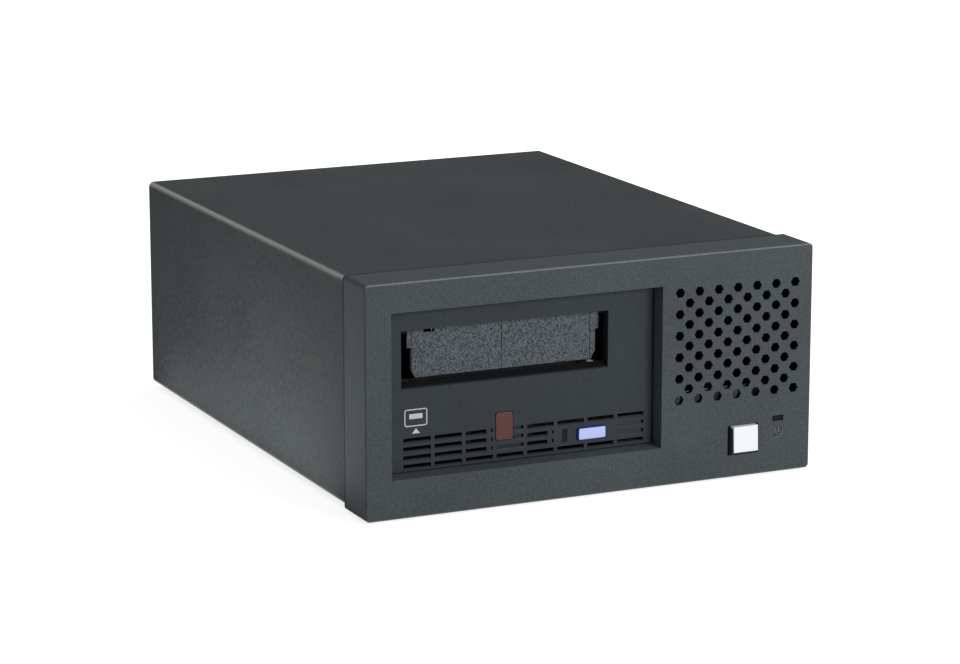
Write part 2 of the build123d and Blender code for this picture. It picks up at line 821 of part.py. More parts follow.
with BuildPart() as supply_channel:
    with BuildSketch(across(supply_start)):
        with Locations((supply_x, pan_top)):
            Rectangle(supply_width, supply_wall, align=(Align.CENTER, Align.MIN))
        with Locations((supply_x, pan_top + supply_sheet)):
            Rectangle(
                supply_width - 2 * supply_sheet, supply_wall, align=(Align.CENTER, Align.MIN), mode=Mode.SUBTRACT
            )
        with Locations((supply_x - supply_width / 2, pan_top + 16)):
            Rectangle(4 * supply_sheet, supply_wall, align=(Align.CENTER, Align.MIN), mode=Mode.SUBTRACT)
    extrude(amount=-(supply_end - supply_start))
    with BuildSketch(Plane.XY.offset(pan_top + supply_sheet)):
        with Locations((supply_x, y_at(supply_middle))):
            with GridLocations(supply_width - 12, supply_end - supply_start - 12, 2, 2):
                Circle(3)
    extrude(amount=supply_board_z - pan_top - supply_sheet)
write(supply_channel, "supply_channel")

with BuildPart() as supply_board:
    with BuildSketch(Plane.XY.offset(supply_board_z)):
        with Locations((supply_x, y_at(supply_middle))):
            Rectangle(supply_width - 4 * supply_sheet, supply_end - supply_start - 4)
    extrude(amount=supply_board_thickness)
    component_z = supply_board_z + supply_board_thickness
    with BuildSketch(Plane.XY.offset(component_z)):
        with Locations((fan_x, y_at(rear_block)), (drive_lead_x, y_at(rear_block))):
            Rectangle(14, block_length, align=(Align.CENTER, Align.MAX))
        with Locations((button_x, y_at(front_block))):
            Rectangle(12, block_length, align=(Align.CENTER, Align.MIN))
    extrude(amount=block_height)
write(supply_board, "supply_board")

with BuildPart() as supply_transformer:
    with BuildSketch(Plane.XY.offset(component_z)):
        with Locations((transformer_x, y_at(supply_middle + 4))):
            Rectangle(transformer_width - 6, core_length)
    extrude(amount=core_rise)
    with BuildSketch(Plane.XY.offset(component_z + core_rise)):
        with Locations((transformer_x, y_at(supply_middle + 4))):
            Rectangle(transformer_width, winding_length)
    extrude(amount=winding_height)
    chamfer(supply_transformer.faces().sort_by(Axis.Z)[-1].edges(), 1)
write(supply_transformer, "supply_transformer")

with BuildPart() as supply_heat_sinks:
    for sink_x, sink_length in ((left_sink_x, left_sink_length), (right_sink_x, right_sink_length)):
        with BuildSketch(Plane.XY.offset(component_z)):
            with Locations((sink_x, y_at(supply_middle))):
                Rectangle(sink_sheet, sink_length)
        extrude(amount=sink_height)
        with BuildSketch(Plane.XY.offset(component_z + sink_height - wing_sheet)):
            with Locations((sink_x + sink_wing / 2, y_at(supply_middle))):
                Rectangle(sink_wing, sink_length)
        extrude(amount=wing_sheet)
write(supply_heat_sinks, "supply_heat_sinks")

with BuildPart() as supply_capacitors:
    with BuildSketch(Plane.XY.offset(component_z)):
        with Locations(*[(bay_x, y_at(depth)) for depth in reservoir_depths]):
            Circle(reservoir_radius)
    extrude(amount=reservoir_height)
    with BuildSketch(Plane.XY.offset(component_z)):
        with Locations((bay_x - 4, y_at(supply_end - filter_inset))):
            with GridLocations(filter_pitch, filter_row_pitch, 2, 2):
                Circle(filter_radius)
    extrude(amount=filter_height)
    chamfer(supply_capacitors.edges().filter_by(GeomType.CIRCLE).group_by(Axis.Z)[-1], 0.8)
write(supply_capacitors, "supply_capacitors")

# Data sockets: two metal cages through the rear panel, each with a contact tongue
cage_wall = 0.8
cage_depth = 26.0
cage_proud = 1.5
tongue_setback = 6.0

with BuildPart() as data_sockets:
    with BuildSketch(across(rear_face + cage_proud)):
        with Locations(*[(x, socket_z) for x in socket_x]):
            Rectangle(socket_width, socket_height)
            Rectangle(socket_width - 2 * cage_wall, socket_height - 2 * cage_wall, mode=Mode.SUBTRACT)
    extrude(amount=cage_depth)
    with BuildSketch(across(rear_face + cage_proud - cage_depth)):
        with Locations(*[(x, socket_z) for x in socket_x]):
            Rectangle(socket_width, socket_height)
    extrude(amount=-2)
write(data_sockets, "data_sockets")

with BuildPart() as socket_tongues:
    with BuildSketch(across(rear_face + cage_proud - tongue_setback)):
        with Locations(*[(x, socket_z) for x in socket_x]):
            Rectangle(socket_width - 8, 1.6)
    extrude(amount=cage_depth - tongue_setback - 2)
write(socket_tongues, "socket_tongues")


# Drive bezel: moulded front of the drive, with the cartridge slot's funnel, vents, windows and key opening
plate_rear = drive_setback + drive_plate
bezel_z = drive_z + drive_bezel_lift
drive_rim = (drive_bezel_width - drive_width) / 2 - bracket_gap
sleeve_length = 5.5
sleeve_height = 60.0
slot_centre_x = drive_x + slot_x
slot_centre_z = drive_z + slot_z
throat_z = slot_centre_z + throat_rise
throat_rear = drive_setback + throat_depth
collar_wall = 3.0
tray_top = drive_bottom + tray_height
tray_front = 18.2
flap_x = slot_centre_x + flap_offset
flap_front = throat_rear + flap_gap
flap_top = throat_z + throat_height / 2 - 0.3
flap_bottom = flap_top - flap_height
hinge_depth = flap_front + flap_thickness / 2
hinge_z = flap_top + flap_thickness / 2
boss_width = 3.0
boss_gap = 0.3
boss_height = 5.0
boss_length = 4.4
board_posts = [(-20.0, -17.5), (50.5, -17.5), (20.6, -32.1), (50.8, -32.1)]
panel_board_front = 19.0


def vent_points(row, depth):
    """Section of one vent: a slot with a lip that slopes down towards the front."""
    z = drive_z + vent_top - row * vent_pitch_z
    return [
        (y_at(drive_setback), z + vent_height / 2),
        (y_at(drive_setback + depth), z + vent_height / 2),
        (y_at(drive_setback + depth), z - vent_height / 2),
        (y_at(drive_setback + min(depth / 2, vent_lip)), z - vent_height / 2),
        (y_at(drive_setback), z - vent_height / 2 - vent_lip),
    ]


# column: (rows cut right through, rows cut short, rows that are blind grooves)
vent_columns = {
    0: ((0, 1, 2, 3), (), ()),
    1: ((0, 1, 2, 3), (), ()),
    2: ((3,), (0, 1, 2), ()),
    3: ((3,), (), (0, 1, 2)),
    4: ((0, 3), (1, 2), ()),
    5: ((0, 3), (), ()),
    6: ((0, 3), (), ()),
    7: ((0, 3), (), (1, 2)),
}

with BuildPart() as drive_bezel:
    with BuildSketch(across(drive_setback)):
        with Locations((drive_x, bezel_z)):
            RectangleRounded(drive_bezel_width, drive_bezel_height, 1)
    extrude(amount=-(drive_front - drive_setback - bracket_gap))
    fillet(drive_bezel.faces().sort_by(Axis.Y)[0].outer_wire().edges(), 0.5)
    with BuildSketch(across(plate_rear)):
        with Locations((drive_x, bezel_z)):
            Rectangle(drive_bezel_width - 2 * drive_rim, drive_bezel_height - 2 * drive_rim)
    extrude(amount=-drive_front, mode=Mode.SUBTRACT)
    # ears that lap the drive's sides
    with BuildSketch(across(plate_rear)):
        with Locations((drive_x, bezel_z)):
            Rectangle(drive_bezel_width, sleeve_height)
            Rectangle(drive_bezel_width - 2 * drive_rim, sleeve_height, mode=Mode.SUBTRACT)
    extrude(amount=-(drive_front + sleeve_length - plate_rear))
    # collar and funnel of the cartridge slot
    with BuildSketch(across(plate_rear)):
        with Locations((slot_centre_x, throat_z)):
            Rectangle(throat_width + 2 * collar_wall, throat_height + 2 * collar_wall)
    extrude(amount=-(throat_rear - plate_rear))
    with BuildSketch(across(drive_setback)):
        with Locations((slot_centre_x, slot_centre_z)):
            Rectangle(slot_mouth_width, slot_mouth_height)
    with BuildSketch(across(throat_rear)):
        with Locations((slot_centre_x, throat_z)):
            Rectangle(throat_width, throat_height)
    loft(mode=Mode.SUBTRACT)
    # hinge bosses behind the collar
    for boss_x in (flap_x - ear_left - boss_gap - boss_width, flap_x + ear_right + boss_gap):
        with BuildSketch(along(boss_x)):
            with Locations((y_at(throat_rear), hinge_z)):
                Rectangle(boss_length, boss_height, align=(Align.MIN, Align.CENTER))
        extrude(amount=boss_width)
        with BuildSketch(along(boss_x)):
            with Locations((y_at(hinge_depth), hinge_z)):
                Circle(hinge_pin_radius + running_gap)
        extrude(amount=boss_width, mode=Mode.SUBTRACT)
    # vents
    for column, (through_rows, short_rows, blind_rows) in vent_columns.items():
        column_x = drive_x + vent_left + column * vent_pitch_x
        for rows, depth, width in (
            (through_rows, drive_plate, vent_width),
            (short_rows, drive_plate, vent_short),
            (blind_rows, vent_blind_depth, vent_width),
        ):
            for row in rows:
                with BuildSketch(along(column_x)):
                    with BuildLine():
                        Polyline(*vent_points(row, depth), close=True)
                    make_face()
                extrude(amount=width, mode=Mode.SUBTRACT)
        if short_rows or blind_rows:
            with BuildSketch(across(drive_setback)):
                with Locations(
                    *[
                        (column_x + vent_width - vent_end_hole / 2, drive_z + vent_top - row * vent_pitch_z)
                        for row in short_rows + blind_rows
                    ]
                ):
                    Rectangle(vent_end_hole, vent_height)
            extrude(amount=-drive_plate, mode=Mode.SUBTRACT)
    # openings for the display, the status lamp and the unload key
    with BuildSketch(across(drive_setback)):
        with Locations((drive_x + display_x, drive_z + display_z)):
            RectangleRounded(display_width + 2 * window_gap, display_height + 2 * window_gap, 1.4)
        with Locations((drive_x + status_x, drive_z + status_z)):
            Rectangle(status_width + 2 * window_gap, status_height + 2 * window_gap)
        with Locations((drive_x + key_x, drive_z + key_z)):
            RectangleRounded(key_width + 2 * window_gap, key_height + 2 * window_gap, 1.1)
    extrude(amount=-drive_plate, mode=Mode.SUBTRACT)
    # posts that carry the front panel board
    with BuildSketch(across(plate_rear)):
        with Locations(*[(drive_x + x, drive_z + z) for x, z in board_posts]):
            Circle(1.8)
    extrude(amount=-(panel_board_front - plate_rear))
write(drive_bezel, "drive_bezel")

# Slot flap: hangs from its hinge pins behind the slot and swings inward
pin_reach = boss_gap + boss_width - 0.4
spring_notch = 6.0
flap_spring_radius = 1.35
flap_spring_wire = 0.25
flap_spring_x = flap_x - 40

with BuildPart() as slot_flap:
    with BuildSketch(across(flap_front)):
        with BuildLine():
            Polyline(
                (flap_x - flap_panel_left, flap_bottom + flap_chamfer_z),
                (flap_x - flap_panel_left + flap_chamfer_x, flap_bottom),
                (flap_x + flap_right - flap_chamfer_x, flap_bottom),
                (flap_x + flap_right, flap_bottom + flap_chamfer_z),
                (flap_x + flap_right, flap_top - flap_ear_height),
                (flap_x + ear_right, flap_top - flap_ear_height),
                (flap_x + ear_right, flap_top),
                (flap_x - ear_left, flap_top),
                (flap_x - ear_left, flap_top - flap_ear_height),
                (flap_x - flap_panel_left, flap_top - flap_ear_height),
                close=True,
            )
        make_face()
    extrude(amount=-flap_thickness)
    with BuildSketch(along(flap_x - ear_left)):
        with Locations((y_at(hinge_depth), hinge_z)):
            Circle(hinge_barrel_radius)
    extrude(amount=ear_left + ear_right)
    with BuildSketch(across(flap_front)):
        with Locations(
            *[(flap_x + offset, (flap_bottom + flap_top) / 2) for offset in (-flap_panel_left + 0.2, 0, flap_panel_left)]
        ):
            Rectangle(0.4, flap_height)
    extrude(amount=-0.4, mode=Mode.SUBTRACT)
    # notch for the coil spring, which sits on the barrel
    with BuildSketch(across(flap_front - hinge_barrel_radius)):
        with Locations((flap_spring_x, flap_top)):
            Rectangle(spring_notch, 5.0)
    extrude(amount=-4 * hinge_barrel_radius, mode=Mode.SUBTRACT)
    with BuildSketch(along(flap_x - ear_left - pin_reach)):
        with Locations((y_at(hinge_depth), hinge_z)):
            Circle(hinge_pin_radius)
    extrude(amount=ear_left + ear_right + 2 * pin_reach)
write(slot_flap, "slot_flap")

# Flap spring: turns on the hinge pin, one leg forward to the collar and one down behind the flap
flap_spring_turns = 3.25
flap_spring_length = spring_notch - 1.6
flap_spring_left = flap_spring_x - flap_spring_length / 2

with BuildPart() as slot_flap_spring:
    with BuildLine():
        coil = Helix(
            flap_spring_length / flap_spring_turns,
            flap_spring_length,
            flap_spring_radius,
            center=(flap_spring_left, y_at(hinge_depth), hinge_z),
            direction=(1, 0, 0),
            lefthand=True,
        )
    with BuildSketch(Plane(origin=coil @ 0, z_dir=coil % 0)):
        Circle(flap_spring_wire)
    sweep(is_frenet=True)
    with BuildSketch(Plane(origin=coil @ 0, z_dir=(0, -1, 0))):
        Circle(flap_spring_wire)
    extrude(amount=hinge_depth - throat_rear - 0.05)
    with BuildSketch(Plane(origin=coil @ 1, z_dir=(0, 0, -1))):
        Circle(flap_spring_wire)
    extrude(amount=7)
    with Locations(coil @ 0, coil @ 1):
        Sphere(1.25 * flap_spring_wire)
write(slot_flap_spring, "slot_flap_spring")

# Unload key: blue cap with a flange behind the bezel plate and a short stem to its switch
key_flange = 1.0
key_flange_front = plate_rear + 0.3
key_switch = 2.0
key_stem_end = panel_board_front - key_switch - key_travel - 0.4

with BuildPart() as unload_key:
    with BuildSketch(across(drive_setback - key_proud)):
        with Locations((drive_x + key_x, drive_z + key_z)):
            RectangleRounded(key_width, key_height, 0.8)
    extrude(amount=-(key_flange_front - drive_setback + key_proud))
    fillet(unload_key.faces().sort_by(Axis.Y)[0].outer_wire().edges(), 0.4)
    with BuildSketch(across(key_flange_front)):
        with Locations((drive_x + key_x, drive_z + key_z)):
            Rectangle(key_width + 2, key_height + 1.6)
    extrude(amount=-key_flange)
    with BuildSketch(across(key_flange_front + key_flange)):
        with Locations((drive_x + key_x, drive_z + key_z)):
            Rectangle(4, 3)
    extrude(amount=-(key_stem_end - key_flange_front - key_flange))
write(unload_key, "unload_key")

# Display window and status lamp window, each flanged behind the plate
window_proud = 0.3

with BuildPart() as display_window:
    with BuildSketch(across(drive_setback - window_proud)):
        with Locations((drive_x + display_x, drive_z + display_z)):
            RectangleRounded(display_width, display_height, 1.2)
    extrude(amount=-(drive_plate + window_proud))
    fillet(display_window.faces().sort_by(Axis.Y)[0].outer_wire().edges(), 0.3)
    with BuildSketch(across(plate_rear)):
        with Locations((drive_x + display_x, drive_z + display_z)):
            Rectangle(display_width + 2.4, display_height + 2.4)
    extrude(amount=-0.8)
write(display_window, "display_window")

with BuildPart() as status_window:
    with BuildSketch(across(drive_setback)):
        with Locations((drive_x + status_x, drive_z + status_z)):
            Rectangle(status_width, status_height)
    extrude(amount=-drive_plate)
    with BuildSketch(across(plate_rear)):
        with Locations((drive_x + status_x, drive_z + status_z)):
            Rectangle(status_width + 1, status_height)
    extrude(amount=-(panel_board_front - plate_rear - 0.3))
write(status_window, "status_window")

# Front panel board on the bezel's posts, with the key's switch, and the display module behind its window
panel_left = -26.0
panel_right = 56.0
panel_board_height = 22.0
panel_thickness = 1.6

with BuildPart() as panel_board:
    with BuildSketch(across(panel_board_front)):
        with Locations((drive_x + panel_left, drive_z - 14.5)):
            Rectangle(panel_right - panel_left, panel_board_height, align=(Align.MIN, Align.MAX))
    extrude(amount=-panel_thickness)
    with BuildSketch(across(panel_board_front - key_switch)):
        with Locations((drive_x + key_x, drive_z + key_z)):
            Rectangle(6, 6)
    extrude(amount=-key_switch)
write(panel_board, "panel_board")

with BuildPart() as display_module:
    with BuildSketch(across(plate_rear + 1.1)):
        with Locations((drive_x + display_x, drive_z + display_z)):
            Rectangle(display_width, display_height - 1)
    extrude(amount=-(panel_board_front - plate_rear - 1.1))
write(display_module, "display_module")

# Nylon pad and bronze leaf fixed behind the collar, level with the tray at the right of the slot
pad_x = drive_x + 41.8
pad_length = tray_front - throat_rear - sheet_gap

with BuildPart() as slot_pad:
    with BuildSketch(across(throat_rear)):
        with Locations((pad_x, tray_top)):
            Rectangle(3, 2.3, align=(Align.CENTER, Align.MAX))
    extrude(amount=-pad_length)
    fillet(slot_pad.edges().filter_by(Axis.Y).group_by(Axis.Z)[-1], 0.5)
write(slot_pad, "slot_pad")

with BuildPart() as slot_leaf:
    with BuildSketch(across(throat_rear)):
        with Locations((pad_x - 4.4, tray_top)):
            Rectangle(3.4, 1.2, align=(Align.CENTER, Align.MAX))
    extrude(amount=-pad_length)
write(slot_leaf, "slot_leaf")

# Drive chassis: a casting of two side walls, a deck between them and a rear wall
post_radius = 3.0
board_top = drive_bottom + 9.6
board_post_depths = (60.0, 185.0)
board_post_x = 58.0
board_post_places = [(drive_x + sx * board_post_x, y_at(depth)) for sx in (-1, 1) for depth in board_post_depths]
cover_screw_x = drive_width / 2 - drive_wall / 2
drive_cover_places = [
    (drive_x + sx * cover_screw_x, y_at(depth)) for sx in (-1, 1) for depth in (drive_front + 12, drive_rear - 12)
]
window_low = 6.0
window_high = 22.0
side_slot_depths = (75.0, 125.0, 175.0)
side_slot_length = 34.0
side_slot_width = 12.0
side_slot_rise = 18.0
rear_window_shift = 10.0
rear_window_width = 88.0

with BuildPart() as drive_chassis:
    with BuildSketch(across(drive_front)):
        with Locations((drive_x, drive_z)):
            Rectangle(drive_width, drive_height - 2 * drive_sheet)
    extrude(amount=-drive_length)
    with BuildSketch(Plane.XY.offset(deck_z)):
        with Locations((drive_x, y_at(drive_front))):
            Rectangle(drive_width - 2 * drive_wall, drive_length - drive_wall, align=(Align.CENTER, Align.MIN))
    extrude(amount=drive_height, mode=Mode.SUBTRACT)
    with BuildSketch(Plane.XY.offset(deck_z - deck_thickness)):
        with Locations((drive_x, y_at(drive_front))):
            Rectangle(drive_width - 2 * drive_wall, drive_length - drive_wall, align=(Align.CENTER, Align.MIN))
    extrude(amount=-drive_height, mode=Mode.SUBTRACT)
    with BuildSketch(along(drive_x - drive_width)):
        with Locations(*drive_screw_places):
            Circle(m3_shank + 0.05)
        with Locations(*[(y_at(depth), drive_z + side_slot_rise) for depth in side_slot_depths]):
            SlotOverall(side_slot_length, side_slot_width)
    extrude(amount=2 * drive_width, mode=Mode.SUBTRACT)
    with BuildSketch(across(drive_rear - drive_wall)):
        with Locations((drive_x + rear_window_shift, drive_bottom + (window_low + window_high) / 2)):
            Rectangle(rear_window_width, window_high - window_low)
        with Locations((drive_x, drive_z + side_slot_rise)):
            with GridLocations(22, 9, 5, 2):
                SlotOverall(18, 4)
    extrude(amount=-drive_wall, mode=Mode.SUBTRACT)
    with BuildSketch(Plane.XY.offset(board_top)):
        with Locations(*board_post_places):
            Circle(post_radius)
    extrude(amount=deck_z - deck_thickness - board_top)
    with BuildSketch(Plane.XY.offset(drive_bottom)):
        with Locations(*drive_cover_places):
            Circle(0.95)
    extrude(amount=6, mode=Mode.SUBTRACT)
    with BuildSketch(Plane.XY.offset(drive_top)):
        with Locations(*drive_cover_places):
            Circle(0.95)
    extrude(amount=-6, mode=Mode.SUBTRACT)
write(drive_chassis, "drive_chassis")

for cover_name, cover_z in (("drive_top_cover", drive_top - drive_sheet), ("drive_bottom_cover", drive_bottom)):
    with BuildPart() as drive_cover:
        with BuildSketch(Plane.XY.offset(cover_z)):
            with Locations((drive_x, y_at(drive_front))):
                Rectangle(drive_width, drive_length, align=(Align.CENTER, Align.MIN))
            with Locations(*drive_cover_places):
                Circle(1.1, mode=Mode.SUBTRACT)
            with Locations((drive_x, y_at(drive_rear - 30))):
                with GridLocations(16, 10, 6, 3):
                    SlotOverall(12, 3, mode=Mode.SUBTRACT)
        extrude(amount=drive_sheet)
    write(drive_cover, cover_name)

# Drive screws: through the brackets into the drive's sides, and small ones through its two covers
with BuildPart() as drive_screws:
    for side in (-1, 1):
        seat_x = drive_x + side * (drive_width / 2 + bracket_gap + steel_sheet)
        with BuildSketch(along(seat_x)):
            with Locations(*drive_screw_places):
                Circle(m3_head)
        extrude(amount=side * m3_head_height)
        with BuildSketch(along(seat_x)):
            with Locations(*drive_screw_places):
                Circle(m3_shank)
        extrude(amount=-side * (steel_sheet + bracket_gap + drive_wall))
    for seat_z, side in ((drive_top, 1), (drive_bottom, -1)):
        with BuildSketch(Plane.XY.offset(seat_z)):
            with Locations(*drive_cover_places):
                Circle(1.9)
        extrude(amount=side * 0.7)
        with BuildSketch(Plane.XY.offset(seat_z)):
            with Locations(*drive_cover_places):
                Circle(0.9)
        extrude(amount=-side * 5.5)
write(drive_screws, "drive_screws")

# Main board hung from the chassis posts, and the connectors at its rear edge
main_board_thickness = 1.6
chip_height = 2.5
board_chips = [(-20.0, 120.0, 32.0, 32.0), (28.0, 95.0, 24.0, 24.0), (30.0, 140.0, 14.0, 20.0)]

with BuildPart() as main_board:
    with BuildSketch(Plane.XY.offset(board_top - main_board_thickness)):
        with Locations((drive_x, y_at(drive_front + 6))):
            Rectangle(drive_width - 2 * drive_wall - 2, drive_length - 14, align=(Align.CENTER, Align.MIN))
    extrude(amount=main_board_thickness)
    with BuildSketch(Plane.XY.offset(board_top)):
        for chip_x, chip_depth, chip_width, chip_length in board_chips:
            with Locations((drive_x + chip_x, y_at(chip_depth))):
                Rectangle(chip_width, chip_length)
    extrude(amount=chip_height)
write(main_board, "main_board")

connector_height = 11.0
connector_front = 207.0
connector_rear = drive_rear + 1.5
data_plug_x = (drive_x - 22.0, drive_x + 2.0)
data_plug_width = 20.0
power_plug_x = drive_x + 38.0
power_plug_width = 24.0

with BuildPart() as drive_connectors:
    with BuildSketch(Plane.XY.offset(board_top)):
        with Locations(*[(x, y_at(connector_front)) for x in data_plug_x]):
            Rectangle(data_plug_width, connector_rear - connector_front, align=(Align.CENTER, Align.MIN))
        with Locations((power_plug_x, y_at(connector_front))):
            Rectangle(power_plug_width, connector_rear - connector_front, align=(Align.CENTER, Align.MIN))
    extrude(amount=connector_height)
    chamfer(drive_connectors.faces().sort_by(Axis.Y)[-1].edges().filter_by(Axis.Z), 0.5)
write(drive_connectors, "drive_connectors")

# Supply side: flat motor on the deck, and the toothed hub that drives the cartridge's reel
supply_centre = (slot_centre_x, y_at(hub_depth))
motor_base = 2.0
supply_motor_top = 8.0
spindle = 2.5
hub_bottom = deck_z + supply_motor_top + 0.3
hub_top = drive_bottom + tray_height - drop_stroke + 1.4

with BuildPart() as supply_motor:
    with BuildSketch(Plane.XY.offset(deck_z)):
        with Locations(supply_centre):
            RectangleRounded(52, 52, 6)
    extrude(amount=motor_base)
    with BuildSketch(Plane.XY.offset(deck_z + motor_base)):
        with Locations(supply_centre):
            Circle(22)
    extrude(amount=supply_motor_top - motor_base)
    with BuildSketch(Plane.XY.offset(deck_z + supply_motor_top)):
        with Locations(supply_centre):
            Circle(spindle)
    extrude(amount=hub_top - deck_z - supply_motor_top)
write(supply_motor, "supply_motor")

hub_teeth = 18
tooth_height = 0.9

with BuildPart() as supply_hub:
    with BuildSketch(Plane.XY.offset(hub_bottom)):
        with Locations(supply_centre):
            Circle(hub_radius)
            Circle(spindle + running_gap, mode=Mode.SUBTRACT)
    extrude(amount=hub_top - tooth_height - hub_bottom)
    with BuildSketch(Plane.XY.offset(hub_top - tooth_height)):
        with Locations(supply_centre):
            with PolarLocations(hub_radius - 2.6, hub_teeth):
                Rectangle(3.6, 1.6)
    extrude(amount=tooth_height)
write(supply_hub, "supply_hub")

# Take-up side: motor and the reel that stays in the drive
take_up_centre = (slot_centre_x, y_at(reel_depth))
reel_gap = 0.3
reel_half = tape_width / 2 + reel_gap
reel_bottom = tape_z - reel_half - reel_flange
take_up_motor_top = reel_bottom - reel_gap
take_up_spindle = 3.0

with BuildPart() as take_up_motor:
    with BuildSketch(Plane.XY.offset(deck_z)):
        with Locations(take_up_centre):
            Circle(27)
    extrude(amount=motor_base)
    with BuildSketch(Plane.XY.offset(deck_z + motor_base)):
        with Locations(take_up_centre):
            Circle(22)
    extrude(amount=take_up_motor_top - deck_z - motor_base)
    with BuildSketch(Plane.XY.offset(take_up_motor_top)):
        with Locations(take_up_centre):
            Circle(take_up_spindle)
    extrude(amount=tape_z + reel_half - take_up_motor_top)
write(take_up_motor, "take_up_motor")

with BuildPart() as take_up_reel:
    with BuildSketch(Plane.XY.offset(reel_bottom)):
        with Locations(take_up_centre):
            Circle(reel_radius)
    extrude(amount=reel_flange)
    with BuildSketch(Plane.XY.offset(tape_z + reel_half)):
        with Locations(take_up_centre):
            Circle(reel_radius)
            with PolarLocations(26, 3):
                Circle(4, mode=Mode.SUBTRACT)
    extrude(amount=reel_flange)
    with BuildSketch(Plane.XY.offset(reel_bottom)):
        with Locations(take_up_centre):
            Circle(19)
    extrude(amount=2 * (reel_half + reel_flange))
    with BuildSketch(Plane.XY.offset(reel_bottom)):
        with Locations(take_up_centre):
            Circle(take_up_spindle + running_gap)
    extrude(amount=2 * (reel_half + reel_flange), mode=Mode.SUBTRACT)
    # slot in the hub for the leader block
    with BuildSketch(Plane.XY.offset(tape_z - reel_half)):
        with Locations((take_up_centre[0] + 15.5, take_up_centre[1])):
            Rectangle(8, 6)
    extrude(amount=2 * reel_half, mode=Mode.SUBTRACT)
write(take_up_reel, "take_up_reel")

# Posts on the deck: four for the guide rollers, along an arc round the threader's pivot, and the pivot itself
threader_centre = (drive_x + threader_x, y_at(threader_depth))
roller_half = tape_width / 2 + 0.7
roller_pin = 1.6
arm_bottom = tape_z + reel_half + reel_flange + 0.8
arm_thickness = 2.2
post = 2.5


def round_threader(reach, angle):
    """Place on the deck at this distance and angle from the threader's pivot."""
    turn = math.radians(angle)
    return (threader_centre[0] + reach * math.cos(turn), threader_centre[1] + reach * math.sin(turn))


roller_places = [round_threader(roller_reach, angle) for angle in roller_angles]

with BuildPart() as deck_posts:
    with BuildSketch(Plane.XY.offset(deck_z)):
        with Locations(*roller_places):
            Circle(3)
    extrude(amount=tape_z - roller_half - 0.3 - deck_z)
    with BuildSketch(Plane.XY.offset(deck_z)):
        with Locations(*roller_places):
            Circle(roller_pin)
    extrude(amount=tape_z + roller_half - deck_z)
    with BuildSketch(Plane.XY.offset(deck_z)):
        with Locations(threader_centre):
            Circle(4)
    extrude(amount=arm_bottom - 0.3 - deck_z)
    with BuildSketch(Plane.XY.offset(deck_z)):
        with Locations(threader_centre):
            Circle(post)
    extrude(amount=arm_bottom + arm_thickness + 0.3 - deck_z)
write(deck_posts, "deck_posts")

for number, place in enumerate(roller_places, start=1):
    with BuildPart() as guide_roller:
        with BuildSketch(Plane.XY.offset(tape_z - roller_half)):
            with Locations(place):
                Circle(roller_radius + 1)
        extrude(amount=0.7)
        with BuildSketch(Plane.XY.offset(tape_z + roller_half - 0.7)):
            with Locations(place):
                Circle(roller_radius + 1)
        extrude(amount=0.7)
        with BuildSketch(Plane.XY.offset(tape_z - roller_half)):
            with Locations(place):
                Circle(roller_radius)
        extrude(amount=2 * roller_half)
        with BuildSketch(Plane.XY.offset(tape_z - roller_half)):
            with Locations(place):
                Circle(roller_pin + running_gap)
        extrude(amount=2 * roller_half, mode=Mode.SUBTRACT)
    write(guide_roller, f"guide_roller_{number}")

# Tape head on two rods, moved up and down by its actuator
head_x, head_y = round_threader(head_reach, head_angle)
rod_radius = 1.5
rod_spacing = 12.0
head_half = 9.0
head_travel = 2.5
rod_top = tape_z + head_half + head_travel + 3
rod_x = head_x + 2
magnet_x = head_x + 6.2

with BuildPart() as head_actuator:
    with BuildSketch(Plane.XY.offset(deck_z)):
        with Locations((head_x + 3, head_y)):
            Rectangle(14.5, 20)
    extrude(amount=4)
    with BuildSketch(Plane.XY.offset(deck_z + 4)):
        with Locations((rod_x, head_y - rod_spacing / 2), (rod_x, head_y + rod_spacing / 2)):
            Circle(rod_radius)
    extrude(amount=rod_top - deck_z - 4)
    with BuildSketch(Plane.XY.offset(deck_z + 4)):
        with Locations((magnet_x, head_y)):
            Rectangle(4, 18, align=(Align.MIN, Align.CENTER))
    extrude(amount=rod_top - deck_z - 4)
write(head_actuator, "head_actuator")

with BuildPart() as tape_head:
    with BuildSketch(Plane.XY.offset(tape_z - head_half)):
        with Locations((head_x, head_y)):
            Rectangle(10, 18)
        with Locations((rod_x, head_y - rod_spacing / 2), (rod_x, head_y + rod_spacing / 2)):
            Circle(rod_radius + running_gap, mode=Mode.SUBTRACT)
    extrude(amount=2 * head_half)
    fillet(tape_head.faces().sort_by(Axis.X)[0].edges().filter_by(Axis.Z), 2)
write(tape_head, "tape_head")

# Threader: an arm that swings the leader block from the cartridge to the take-up reel
threader_rest = -17.5

block_x, block_y = round_threader(threader_reach, threader_rest)
arm_middle = round_threader(threader_reach / 2, threader_rest)

with BuildPart() as threader_arm:
    with BuildSketch(Plane.XY.offset(arm_bottom)):
        with Locations(Location((arm_middle[0], arm_middle[1], 0), (0, 0, threader_rest))):
            Rectangle(threader_reach, 6)
        with Locations(threader_centre):
            Circle(6)
        with Locations((block_x, block_y)):
            Circle(3)
        with Locations(threader_centre):
            Circle(post + running_gap, mode=Mode.SUBTRACT)
    extrude(amount=arm_thickness)
    with BuildSketch(Plane.XY.offset(tape_z - tape_width / 2)):
        with Locations((block_x, block_y)):
            Circle(2.5)
    extrude(amount=arm_bottom - tape_z + tape_width / 2)
write(threader_arm, "threader_arm")

